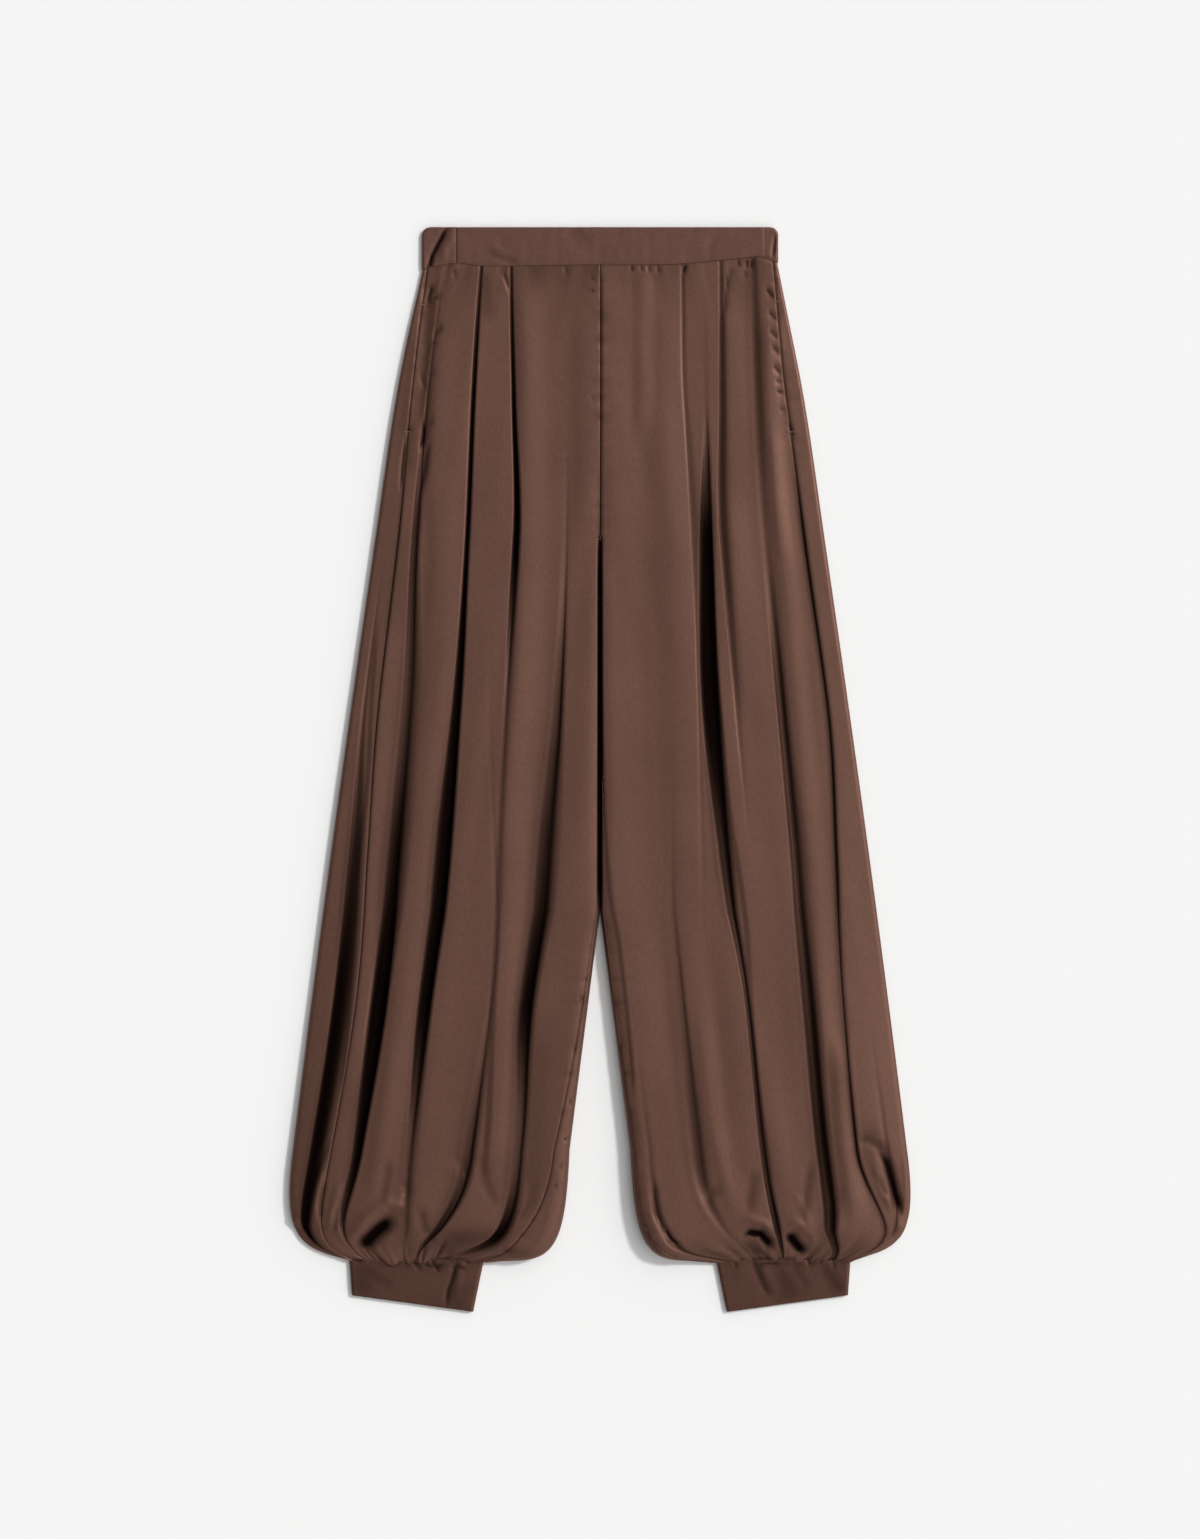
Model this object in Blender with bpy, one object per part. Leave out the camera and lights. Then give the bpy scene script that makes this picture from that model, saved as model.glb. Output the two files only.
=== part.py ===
"""Balloon-leg satin trousers lying flat on their back: pleated fronts, in-seam pockets, gathered ankle cuffs.

Run with: blender --background --python part.py
The waist points to +Y, the front faces +Z, and the cloth rests on the plane z = 0.
Lengths in the tables are millimetres. "Run" is the way down a leg from the top of the waistband: plain
millimetres as far as the hem line, and from there on through the balloon, which bends into the cuff.
"""

import math
from collections import namedtuple

import bmesh
import bpy

MM = 0.001

# Driving sizes
LENGTH = 1058.8
BAND_DEPTH = 36.6
BAND_HALF_WIDTH = 174.0
BAND_CORNER = 8.0
BAND_WALL = 2.2
BAND_STACK = 4.7
FRONT_BAND_FROM = -140.4
FRONT_BAND_TO = 160.9
CROTCH_RUN = 290.0
CROTCH_BLEND = 24.0
LEGS_PART_RUN = 668.0
LEGS_PART_SLOPE = 0.127
HEM_RUN = 900.0
CUFF_RUN = 1010.0
CUFF_HEIGHT = 5.6
CUFF_WALL = 1.9
CUFF_WIDTH = 125.0
CUFF_SEAM_SHARE = 0.9
WALL = 1.2
TOP_WALL = 1.25
STEEP_WALL_MOST = 2.9
EDGE_RISE = 26.0
LIP_BASE = 1.8
LIP_PER_DEPTH = 0.6
SOFT_BASE = 4.0
SOFT_PER_DEPTH = 2.1
SEAM_GAP = 0.3
WAIST_GAP = 0.55
CENTRE_HALF_GAP = 0.2

# The leg at named levels: run, outer edge from the centre line, and heights of its top surface
Level = namedtuple("Level", "name run outer_edge crown outer_roll inner_roll lowest")
LEVELS = (
    Level("waist", 36.9, 173.0, 4.7, 4.7, 4.7, 3.2),
    Level("hip", 169.0, 199.4, 8.0, 7.0, 6.5, 3.2),
    Level("fork", 305.0, 219.4, 10.0, 8.0, 8.0, 3.4),
    Level("thigh", 461.0, 241.8, 11.0, 8.0, 8.0, 3.6),
    Level("knee", 617.0, 263.3, 13.0, 8.5, 8.0, 4.8),
    Level("calf", 754.0, 281.3, 15.5, 9.0, 8.5, 5.0),
    Level("hem", 900.0, 299.6, 19.5, 11.0, 11.0, 5.0),
    Level("bulge", 960.0, 306.8, 23.5, 12.0, 12.0, 5.0),
    Level("cuff", 1010.0, 311.0, 5.6, 5.6, 5.6, 3.6),
)

# Where a seam or fold lies at each level, in per cent of the leg's width from its outer edge
Place = namedtuple("Place", "waist hip fork thigh knee calf hem bulge cuff")
# How deep it is at each level, in millimetres
Depth = namedtuple("Depth", "waist hip fork thigh knee calf hem bulge cuff")
# lip is the side whose cloth lies over the fold, with the steep edge
Fold = namedtuple("Fold", "name lip place depth")

SIDE_SEAM = {
    "right": Place(2.5, 7.6, 10.2, 10.9, 13.8, 16.2, 14.0, 9.0, 4.5),
    "left": Place(2.5, 8.8, 9.3, 8.7, 12.6, 16.4, 17.3, 8.0, 4.5),
}
# How far the inseam lies in from the inner edge, in millimetres
INSEAM_IN = {
    "right": Place(5.0, 5.0, 5.0, 5.2, 6.5, 12.0, 18.5, 18.0, 8.0),
    "left": Place(5.0, 5.0, 5.0, 5.0, 5.0, 5.5, 7.0, 8.0, 8.0),
}
STRIP_FOLD = {
    "right": Fold(
        "outer fold", "outer",
        Place(1.0, 3.0, 4.5, 5.4, 8.6, 8.2, 7.0, 4.0, 2.5),
        Depth(0.0, 0.0, 0.0, 2.0, 4.0, 4.5, 6.0, 5.0, 0.0),
    ),
    "left": Fold(
        "outer fold", "inner",
        Place(1.0, 4.0, 4.5, 4.5, 7.0, 9.5, 11.5, 4.0, 2.5),
        Depth(0.0, 0.0, 0.0, 0.0, 0.0, 0.0, 3.0, 6.0, 0.0),
    ),
}
FRONT_FOLDS = {
    "right": (
        Fold(
            "pocket fold", "inner",
            Place(12.0, 13.9, 18.3, 23.0, 23.8, 26.3, 24.7, 20.0, 13.0),
            Depth(0.0, 2.0, 3.5, 4.0, 7.0, 8.5, 9.5, 2.0, 0.0),
        ),
        Fold(
            "cuff hollow, outer", "outer",
            Place(22.0, 25.0, 29.0, 32.0, 33.0, 34.0, 34.0, 30.0, 17.0),
            Depth(0.0, 0.0, 0.0, 0.0, 0.0, 0.0, 1.0, 14.0, 1.0),
        ),
        Fold(
            "first pleat", "outer",
            Place(33.0, 37.9, 41.0, 43.0, 42.0, 42.3, 41.9, 41.0, 27.0),
            Depth(1.5, 4.0, 5.5, 6.5, 8.5, 9.0, 5.5, 5.0, 0.5),
        ),
        Fold(
            "inner hem fold", "inner",
            Place(42.0, 49.0, 53.0, 55.0, 57.0, 60.0, 62.0, 58.0, 47.0),
            Depth(0.0, 0.0, 0.0, 0.0, 0.0, 4.5, 9.5, 13.0, 1.0),
        ),
        Fold(
            "second pleat", "outer",
            Place(49.9, 58.4, 63.3, 64.0, 68.0, 71.5, 73.0, 71.0, 60.0),
            Depth(1.5, 4.5, 6.5, 3.0, 1.5, 1.5, 1.0, 0.5, 0.0),
        ),
        Fold(
            "inner leg fold", "outer",
            Place(78.0, 84.0, 86.0, 84.4, 81.0, 81.0, 82.0, 81.0, 72.0),
            Depth(0.0, 0.0, 0.5, 4.0, 6.0, 5.0, 4.0, 10.0, 1.0),
        ),
    ),
    "left": (
        Fold(
            "pocket fold", "outer",
            Place(12.1, 22.0, 26.7, 25.3, 26.3, 28.4, 29.6, 26.0, 12.0),
            Depth(1.0, 1.0, 3.0, 5.0, 6.5, 8.5, 10.0, 11.0, 0.5),
        ),
        Fold(
            "second pleat edge", "inner",
            Place(31.8, 40.2, 44.0, 43.0, 40.5, 40.0, 39.0, 36.0, 25.0),
            Depth(1.0, 3.0, 5.0, 3.0, 1.0, 1.0, 1.0, 0.0, 0.0),
        ),
        Fold(
            "cuff hollow, outer", "outer",
            Place(36.0, 44.0, 48.5, 49.0, 46.0, 45.5, 45.0, 43.0, 36.0),
            Depth(0.0, 0.0, 0.0, 0.0, 0.0, 0.0, 0.0, 13.0, 1.0),
        ),
        Fold(
            "second pleat", "outer",
            Place(41.0, 48.0, 53.0, 54.3, 51.5, 51.5, 52.5, 53.0, 51.0),
            Depth(0.5, 4.0, 6.5, 7.5, 8.0, 6.5, 6.5, 8.0, 0.5),
        ),
        Fold(
            "first pleat", "inner",
            Place(53.8, 58.8, 60.5, 61.5, 63.0, 65.5, 65.9, 66.0, 67.0),
            Depth(1.5, 3.0, 4.0, 3.0, 1.5, 1.5, 3.0, 4.0, 0.5),
        ),
        Fold(
            "inner leg fold", "inner",
            Place(68.0, 71.0, 71.0, 72.0, 72.5, 74.5, 74.5, 76.0, 80.0),
            Depth(0.0, 0.0, 0.0, 1.0, 2.0, 4.0, 5.5, 5.0, 0.5),
        ),
        Fold(
            "inner hem fold", "inner",
            Place(84.0, 86.0, 87.0, 87.0, 88.0, 90.0, 91.0, 90.0, 90.0),
            Depth(0.0, 0.0, 0.0, 0.0, 0.0, 1.0, 4.0, 8.0, 0.5),
        ),
    ),
}
# Creases of the back panel: grooves lifted off the flat underside
BACK_CREASES = (
    Fold(
        "outer crease", "inner",
        Place(25.0, 25.0, 26.0, 28.0, 29.0, 29.0, 28.0, 24.0, 20.0),
        Depth(0.0, 0.0, 0.0, 0.8, 1.5, 1.6, 1.6, 1.6, 0.0),
    ),
    Fold(
        "middle crease", "outer",
        Place(50.0, 50.0, 51.0, 52.0, 53.0, 53.0, 52.0, 51.0, 50.0),
        Depth(0.0, 0.8, 1.0, 0.8, 0.8, 1.4, 1.6, 1.6, 0.0),
    ),
    Fold(
        "inner crease", "outer",
        Place(76.0, 76.0, 76.0, 75.0, 76.0, 77.0, 78.0, 80.0, 80.0),
        Depth(0.0, 0.0, 0.0, 0.0, 1.0, 1.5, 1.6, 1.6, 0.0),
    ),
)
CREASE_HALF_WIDTH = 5.0
# The last bit of the back panel's inner edge, beyond its roll
INNER_LIP = 1.0

# The seam under the waistband: it dips and rises a little as the cloth lies
WaistSeam = namedtuple("WaistSeam", "x run")
WAIST_SEAM = (
    WaistSeam(-174.0, 40.9),
    WaistSeam(-141.0, 35.0),
    WaistSeam(-112.0, 37.8),
    WaistSeam(0.0, 36.6),
    WaistSeam(60.0, 36.4),
    WaistSeam(130.0, 31.0),
    WaistSeam(152.0, 29.0),
    WaistSeam(174.0, 34.5),
)
WAIST_SEAM_FADE = 70.0

# The balloon: how a line down the leg leaves the hem line and how it arrives at the cuff, as
# (outwards, down) steps, for a line at the outer edge, in the middle and at the inner edge
Bend = namedtuple("Bend", "start leave arrive end")
BALLOON_OUTER = Bend((299.6, 900.0), (12.4, 90.0), (-46.0, 10.5), (244.6, 1008.4))
BALLOON_MIDDLE = Bend(None, (7.0, 45.0), (0.0, 44.0), None)
BALLOON_INNER = Bend((30.7, 900.0), (4.5, 105.3), (67.3, -5.8), (113.1, 1007.2))
BEND_SHARPNESS = 2.5
# How much narrower the leg is at the cuff than at the hem line, so that rolls there keep their size
BALLOON_SQUEEZE = 1.05
CUFF_END_OUTER = (242.2, 1042.6)
CUFF_END_INNER = (123.8, 1058.8)

# How fine the meshes are
ROW_RUNS = (
    36.9, 62.0, 100.0, 140.0, 180.0, 220.0, 258.0, 290.0, 300.0, 314.0, 350.0, 405.0, 461.0, 517.0, 570.0,
    622.0, 668.0, 712.0, 757.0, 803.0, 850.0, 882.0, 905.0, 927.0, 946.0, 962.0, 976.0, 989.0, 1000.0, 1010.0,
)
SEGMENTS_BETWEEN_FOLDS = 4
ROLL_SEGMENTS = 4
CUFF_SIDE_SEGMENTS = 5
CUFF_ROWS = 4
BAND_ROW_RUNS = (0.0, 1.5, 5.0, 14.0, BAND_DEPTH)
BAND_SPACING = 9.5

SATIN = (0.133, 0.066, 0.054, 1.0)
SATIN_ROUGHNESS = 0.42
BAND_TINT = (0.127, 0.063, 0.05, 1.0)
CUFF_TINT = (0.098, 0.047, 0.034, 1.0)


def smooth_step(t):
    t = min(max(t, 0.0), 1.0)
    return t * t * (3.0 - 2.0 * t)


def curve_through(places, values, at):
    """A smooth curve through the values, read at one place."""
    last = len(places) - 1
    if at <= places[0]:
        return values[0]
    if at >= places[last]:
        return values[last]
    i = max(k for k in range(last) if places[k] <= at)
    gap = places[i + 1] - places[i]
    t = (at - places[i]) / gap

    def slope(k):
        if k == 0 or k == last:
            near = min(k, last - 1)
            return (values[near + 1] - values[near]) / (places[near + 1] - places[near])
        before = (values[k] - values[k - 1]) / (places[k] - places[k - 1])
        after = (values[k + 1] - values[k]) / (places[k + 1] - places[k])
        if before * after <= 0.0:
            return 0.0
        return 2.0 * before * after / (before + after)

    a = values[i] * (1.0 + 2.0 * t) * (1.0 - t) ** 2
    b = values[i + 1] * (3.0 - 2.0 * t) * t * t
    c = slope(i) * gap * t * (1.0 - t) ** 2
    d = slope(i + 1) * gap * t * t * (t - 1.0)
    return a + b + c + d


LEVEL_RUNS = [level.run for level in LEVELS]


def at_level(values, run):
    return curve_through(LEVEL_RUNS, list(values), run)


def level_value(column, run):
    return at_level([getattr(level, column) for level in LEVELS], run)


def waist_seam_run(x, height):
    """The waist seam at one place: wavy on top, straight from end to end underneath."""
    first, last = WAIST_SEAM[0], WAIST_SEAM[-1]
    under = first.run + (last.run - first.run) * (x - first.x) / (last.x - first.x)
    above = curve_through([row.x for row in WAIST_SEAM], [row.run for row in WAIST_SEAM], x)
    return under + (above - under) * smooth_step((height - BAND_WALL) / (BAND_STACK - BAND_WALL - 0.1))


def inner_edge(run):
    """How far the inner edge of a leg is from the centre line."""
    parting = max(0.0, run - LEGS_PART_RUN) * LEGS_PART_SLOPE
    return CENTRE_HALF_GAP + 0.9 * smooth_step((run - CROTCH_RUN) / 380.0) + parting


def leg_width(run):
    """The width across a leg. Through the balloon it stays that of the hem line."""
    run = min(run, HEM_RUN)
    return level_value("outer_edge", run) - inner_edge(run)


def bend_point(share, t):
    """A point of the balloon: share across from the outer edge, t down from the hem line to the cuff."""
    outer_part = (1.0 - share) ** BEND_SHARPNESS
    inner_part = share**BEND_SHARPNESS
    middle_part = 1.0 - outer_part - inner_part
    point = []
    for axis in (0, 1):
        ends = (BALLOON_OUTER, BALLOON_INNER)
        start = ends[0].start[axis] + (ends[1].start[axis] - ends[0].start[axis]) * share
        end = ends[0].end[axis] + (ends[1].end[axis] - ends[0].end[axis]) * share
        leave = (
            outer_part * BALLOON_OUTER.leave[axis]
            + middle_part * BALLOON_MIDDLE.leave[axis]
            + inner_part * BALLOON_INNER.leave[axis]
        )
        arrive = (
            outer_part * BALLOON_OUTER.arrive[axis]
            + middle_part * BALLOON_MIDDLE.arrive[axis]
            + inner_part * BALLOON_INNER.arrive[axis]
        )
        first, second = start + leave, end - arrive
        point.append(
            start * (1.0 - t) ** 3
            + 3.0 * first * t * (1.0 - t) ** 2
            + 3.0 * second * t * t * (1.0 - t)
            + end * t**3
        )
    return point


def in_plan(side, across, run, height):
    """World x and y in millimetres of a point: across from the leg's outer edge, run down the leg."""
    sign = -1.0 if side == "right" else 1.0
    if run <= HEM_RUN:
        out = level_value("outer_edge", run) - across
        fade = 1.0 - smooth_step((run - LEVELS[0].run) / WAIST_SEAM_FADE)
        down = run + (waist_seam_run(sign * out, height) + WAIST_GAP - LEVELS[0].run) * fade
    else:
        out, down = bend_point(across / leg_width(HEM_RUN), (run - HEM_RUN) / (CUFF_RUN - HEM_RUN))
    return sign * out, LENGTH / 2.0 - down


def fold_widths(fold, run):
    """Half widths of a fold on its outer and inner side, and its depth."""
    depth = max(0.0, at_level(fold.depth, run))
    lip = LIP_BASE + LIP_PER_DEPTH * depth
    soft = SOFT_BASE + SOFT_PER_DEPTH * depth
    return (lip, soft, depth) if fold.lip == "outer" else (soft, lip, depth)


def fold_across(fold, run):
    return at_level(fold.place, run) / 100.0 * leg_width(run)


def valley(fold, across, run):
    """How far one fold lowers the cloth at a point."""
    outer, inner, depth = fold_widths(fold, run)
    off = across - fold_across(fold, run)
    on_lip_side = (off < 0.0) == (fold.lip == "outer")
    t = min(abs(off) / (outer if off < 0.0 else inner), 1.0)
    if on_lip_side:
        return depth * (1.0 - smooth_step(t))
    return depth * (1.0 - t) ** 2


def top_height(side, across, run):
    """The height of the leg's upper surface."""
    crown = level_value("crown", run)
    outer_roll = level_value("outer_roll", run)
    inner_roll = level_value("inner_roll", run)

    def fall(distance):
        return (1.0 - min(max(distance, 0.0) / EDGE_RISE, 1.0)) ** 2

    height = crown - (crown - outer_roll) * fall(across - outer_roll / 2.0)
    height -= (crown - inner_roll) * fall(leg_width(run) - across - inner_roll / 2.0)
    lowered = valley(STRIP_FOLD[side], across, run)
    for fold in FRONT_FOLDS[side]:
        lowered = max(lowered, valley(fold, across, run))
    lowest = level_value("lowest", run)
    room = max(height - lowest, 0.0)
    return height - room * math.tanh(lowered / max(room, 0.01))


def wall_below(side, across, run):
    """The wall's upright thickness: more where the cloth is steep, so that it stays as thick across."""
    step = 0.8
    slope = (top_height(side, across + step, run) - top_height(side, across - step, run)) / (2.0 * step)
    spare = top_height(side, across, run) - level_value("lowest", run)
    return min(TOP_WALL * math.sqrt(1.0 + slope * slope), TOP_WALL + 0.15 + 0.8 * spare, STEEP_WALL_MOST)


def seam_across(side, run):
    return at_level(SIDE_SEAM[side], run) / 100.0 * leg_width(run)


def opened(run):
    """0 above the crotch, where the legs are joined, and 1 below it."""
    return smooth_step((run - CROTCH_RUN) / CROTCH_BLEND)


def inseam_across(side, run):
    open_share = smooth_step((opened(run) - 0.25) / 0.7)
    return leg_width(run) - at_level(INSEAM_IN[side], run) * open_share


def spaced(stops, near_after, near_before, segments):
    """Stations through the stops, with a close one on each side of every stop."""
    stations = [stops[0]]
    for i in range(len(stops) - 1):
        gap = stops[i + 1] - stops[i]
        first = min(near_after[i], 0.32 * gap)
        last = min(near_before[i + 1], 0.32 * gap)
        inside = segments - 2
        for k in range(inside + 1):
            stations.append(stops[i] + first + (gap - first - last) * k / inside)
        stations.append(stops[i + 1])
    return stations


def front_stations(side, run):
    """Where the columns of a front panel cross one level."""
    stops = [seam_across(side, run) + SEAM_GAP / 2.0]
    after, before = [6.0], [6.0]
    for fold in FRONT_FOLDS[side]:
        outer, inner, _ = fold_widths(fold, run)
        stops.append(fold_across(fold, run))
        before.append(outer if fold.lip == "outer" else 0.4 * outer)
        after.append(inner if fold.lip == "inner" else 0.4 * inner)
    stops.append(inseam_across(side, run) - SEAM_GAP / 2.0)
    after.append(6.0)
    before.append(6.0)
    return spaced(stops, after, before, SEGMENTS_BETWEEN_FOLDS)


def crease_height(across, run):
    """How far a crease lifts the underside."""
    lift = 0.0
    for crease in BACK_CREASES:
        off = abs(across - fold_across(crease, run)) / CREASE_HALF_WIDTH
        lift = max(lift, max(0.0, at_level(crease.depth, run)) * (1.0 - smooth_step(off)))
    return lift


def back_section(side, run):
    """One level of a back panel, as (across, height, step across, step up) from side seam to inseam.

    The step leads from the outer face of the wall to its inner face.
    """
    width = leg_width(run)
    section = []
    seam = seam_across(side, run) - SEAM_GAP / 2.0
    outer_rise = level_value("outer_roll", run) / 2.0
    squeeze = 1.0 + BALLOON_SQUEEZE * smooth_step((run - HEM_RUN) / (CUFF_RUN - HEM_RUN))
    outer_reach = min(outer_rise, 0.45 * seam) * squeeze
    fold = STRIP_FOLD[side]
    strip_width = seam - outer_reach
    low = min(max(fold_across(fold, run), outer_reach + 0.35 * strip_width), outer_reach + 0.7 * strip_width)
    strip = [seam, (seam + low) / 2.0, low, (low + outer_reach) / 2.0]
    for across in strip:
        section.append((across, top_height(side, across, run), 0.0, -wall_below(side, across, run)))
    top = top_height(side, outer_reach, run)
    for k in range(ROLL_SEGMENTS + 1):
        angle = math.pi * k / ROLL_SEGMENTS
        section.append(
            (
                outer_reach - outer_reach * math.sin(angle),
                top / 2.0 + top / 2.0 * math.cos(angle),
                WALL * math.sin(angle) * squeeze,
                -WALL * math.cos(angle),
            )
        )
    share = max(opened(run), 0.02)
    turn = math.pi * share
    inner_top = top_height(side, width - level_value("inner_roll", run) / 2.0, run)
    radius = inner_top * share / (1.0 - math.cos(turn))
    lip = INNER_LIP
    reach = radius * squeeze
    if turn < math.pi / 2.0:
        reach = (radius * math.sin(turn) + lip * math.cos(turn)) * squeeze
    floor_end = width - SEAM_GAP / 2.0 - reach
    creases = [fold_across(crease, run) for crease in BACK_CREASES]
    near = [CREASE_HALF_WIDTH] * (len(creases) + 2)
    floor = spaced([outer_reach] + creases + [floor_end], near, near, 3)
    for across in floor[1:]:
        section.append((across, crease_height(across, run), 0.0, WALL))
    for k in range(1, ROLL_SEGMENTS + 1):
        angle = turn * k / ROLL_SEGMENTS
        section.append(
            (
                floor_end + radius * math.sin(angle) * squeeze,
                radius - radius * math.cos(angle),
                -WALL * math.sin(angle) * squeeze,
                WALL * math.cos(angle),
            )
        )
    if share > 0.999:
        across = inseam_across(side, run) + SEAM_GAP / 2.0
        section.append((across, top_height(side, across, run), 0.0, -wall_below(side, across, run)))
    else:
        across, height, step_across, step_up = section[-1]
        section.append(
            (across + lip * math.cos(turn) * squeeze, height + lip * math.sin(turn), step_across, step_up)
        )
    return section


def bent_slab(name, columns, rows, place, colour):
    """A flat slab made from a grid, then bent: place(column, row, inside) says where each point goes."""
    form = bmesh.new()
    bmesh.ops.create_grid(form, x_segments=columns, y_segments=rows, size=0.5)
    bmesh.ops.solidify(form, geom=form.faces[:], thickness=0.1)
    for vertex in form.verts:
        column = round((vertex.co.x + 0.5) * columns)
        row = round((0.5 - vertex.co.y) * rows)
        inside = abs(vertex.co.z) > 0.05
        vertex.co = [value * MM for value in place(column, row, inside)]
    bmesh.ops.triangulate(form, faces=form.faces[:], quad_method="SHORT_EDGE")
    bmesh.ops.recalc_face_normals(form, faces=form.faces[:])
    mesh = bpy.data.meshes.new(name)
    form.to_mesh(mesh)
    form.free()
    mesh.materials.append(cloth_material(name, colour))
    mesh.shade_smooth()
    piece = bpy.data.objects.new(name, mesh)
    garment.objects.link(piece)
    return piece


def cloth_material(name, colour):
    material = bpy.data.materials.new(name + " satin")
    material.use_nodes = True
    shader = material.node_tree.nodes["Principled BSDF"]
    shader.inputs["Base Color"].default_value = colour
    shader.inputs["Roughness"].default_value = SATIN_ROUGHNESS
    shader.inputs["Metallic"].default_value = 0.0
    material.diffuse_color = colour
    return material


def front_leg(side):
    """The front panel of one leg: a wall between the side seam, the centre seam and the inseam."""
    rows = [front_stations(side, run) for run in ROW_RUNS]

    def place(column, row, inside):
        run, across = ROW_RUNS[row], rows[row][column]
        height = top_height(side, across, run)
        x, y = in_plan(side, across, run, BAND_STACK)
        if inside:
            height -= wall_below(side, across, run)
        return x, y, height

    return bent_slab("front_leg_" + side, len(rows[0]) - 1, len(ROW_RUNS) - 1, place, SATIN)


def back_leg(side):
    """The back panel: flat on the floor, rolled round both edges and onto the front."""
    rows = [back_section(side, run) for run in ROW_RUNS]

    def place(column, row, inside):
        across, height, step_across, step_up = rows[row][column]
        if inside:
            across, height = across + step_across, height + step_up
        x, y = in_plan(side, across, ROW_RUNS[row], height)
        return x, y, height

    return bent_slab("back_leg_" + side, len(rows[0]) - 1, len(ROW_RUNS) - 1, place, SATIN)


def band_half_width(run):
    """Half the waistband's width: its top corners are rounded."""
    drop = max(BAND_CORNER - run, 0.0)
    return BAND_HALF_WIDTH - BAND_CORNER + math.sqrt(BAND_CORNER**2 - drop**2)


def band_run(x, run, height):
    """How far down a point of the band lies: its lower edge follows the waist seam."""
    return run * (waist_seam_run(x, height) / BAND_DEPTH)


def front_band():
    columns = round((FRONT_BAND_TO - FRONT_BAND_FROM) / BAND_SPACING)

    def place(column, row, inside):
        x = FRONT_BAND_FROM + (FRONT_BAND_TO - FRONT_BAND_FROM) * column / columns
        y = LENGTH / 2.0 - band_run(x, BAND_ROW_RUNS[row], BAND_STACK)
        return x, y, BAND_STACK - (BAND_WALL if inside else 0.0)

    return bent_slab("waistband_front", columns, len(BAND_ROW_RUNS) - 1, place, BAND_TINT)


def back_band():
    """The back of the waistband: it lies under the front and wraps round both ends onto it."""
    roll = BAND_STACK / 2.0
    floor_columns = round(2.0 * BAND_HALF_WIDTH / BAND_SPACING)

    def section(run):
        half = band_half_width(run)
        points = []
        end = FRONT_BAND_FROM - SEAM_GAP
        for k in range(2):
            points.append((end + (roll - half - end) * k / 2.0, BAND_STACK, 0.0, -BAND_WALL))
        for k in range(ROLL_SEGMENTS + 1):
            angle = math.pi * k / ROLL_SEGMENTS
            wall = (BAND_WALL * math.sin(angle), -BAND_WALL * math.cos(angle))
            points.append((roll - half - roll * math.sin(angle), roll + roll * math.cos(angle)) + wall)
        for k in range(1, floor_columns):
            points.append((roll - half + 2.0 * (half - roll) * k / floor_columns, 0.0, 0.0, BAND_WALL))
        for k in range(ROLL_SEGMENTS + 1):
            angle = math.pi * k / ROLL_SEGMENTS
            wall = (-BAND_WALL * math.sin(angle), BAND_WALL * math.cos(angle))
            points.append((half - roll + roll * math.sin(angle), roll - roll * math.cos(angle)) + wall)
        points.append((FRONT_BAND_TO + SEAM_GAP, BAND_STACK, 0.0, -BAND_WALL))
        return points

    rows = [section(run) for run in BAND_ROW_RUNS]

    def place(column, row, inside):
        x, height, step_across, step_up = rows[row][column]
        y = LENGTH / 2.0 - band_run(x, BAND_ROW_RUNS[row], height)
        if inside:
            x, height = x + step_across, height + step_up
        return x, y, height

    return bent_slab("waistband_back", len(rows[0]) - 1, len(BAND_ROW_RUNS) - 1, place, BAND_TINT)


def cuff(side):
    """A ring of cloth pressed flat, open at its hidden seam under the inner end."""
    sign = -1.0 if side == "right" else 1.0
    roll = CUFF_HEIGHT / 2.0
    section = []
    reach = roll / CUFF_WIDTH
    seam = CUFF_SEAM_SHARE
    for k in range(CUFF_SIDE_SEGMENTS + 1):
        section.append((seam + (reach - seam) * k / CUFF_SIDE_SEGMENTS, 0.0, 0.0, 1.0))
    for k in range(1, ROLL_SEGMENTS + 1):
        sine, cosine = math.sin(math.pi * k / ROLL_SEGMENTS), math.cos(math.pi * k / ROLL_SEGMENTS)
        section.append((reach - reach * sine, roll - roll * cosine, sine, cosine))
    for k in range(1, CUFF_SIDE_SEGMENTS + 1):
        section.append((reach + (1.0 - 2.0 * reach) * k / CUFF_SIDE_SEGMENTS, CUFF_HEIGHT, 0.0, -1.0))
    for k in range(1, ROLL_SEGMENTS + 1):
        sine, cosine = math.sin(math.pi * k / ROLL_SEGMENTS), math.cos(math.pi * k / ROLL_SEGMENTS)
        section.append((1.0 - reach + reach * sine, roll + roll * cosine, -sine, -cosine))
    section.append((seam + SEAM_GAP / CUFF_WIDTH, 0.0, 0.0, 1.0))

    def place(column, row, inside):
        share, height, step_across, step_up = section[column]
        if inside:
            share, height = share + step_across * CUFF_WALL / CUFF_WIDTH, height + step_up * CUFF_WALL
        down = row / CUFF_ROWS
        top = [BALLOON_OUTER.end[i] + (BALLOON_INNER.end[i] - BALLOON_OUTER.end[i]) * share for i in (0, 1)]
        end = [CUFF_END_OUTER[i] + (CUFF_END_INNER[i] - CUFF_END_OUTER[i]) * share for i in (0, 1)]
        top[1] += SEAM_GAP
        out, run = [top[i] + (end[i] - top[i]) * down for i in (0, 1)]
        return sign * out, LENGTH / 2.0 - run, height

    return bent_slab("cuff_" + side, len(section) - 1, CUFF_ROWS, place, CUFF_TINT)


for leftover in list(bpy.data.objects):
    bpy.data.objects.remove(leftover)
garment = bpy.data.collections.new("balloon trousers")
bpy.context.scene.collection.children.link(garment)

front_band()
back_band()
for side in ("right", "left"):
    front_leg(side)
    back_leg(side)
    cuff(side)
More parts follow.
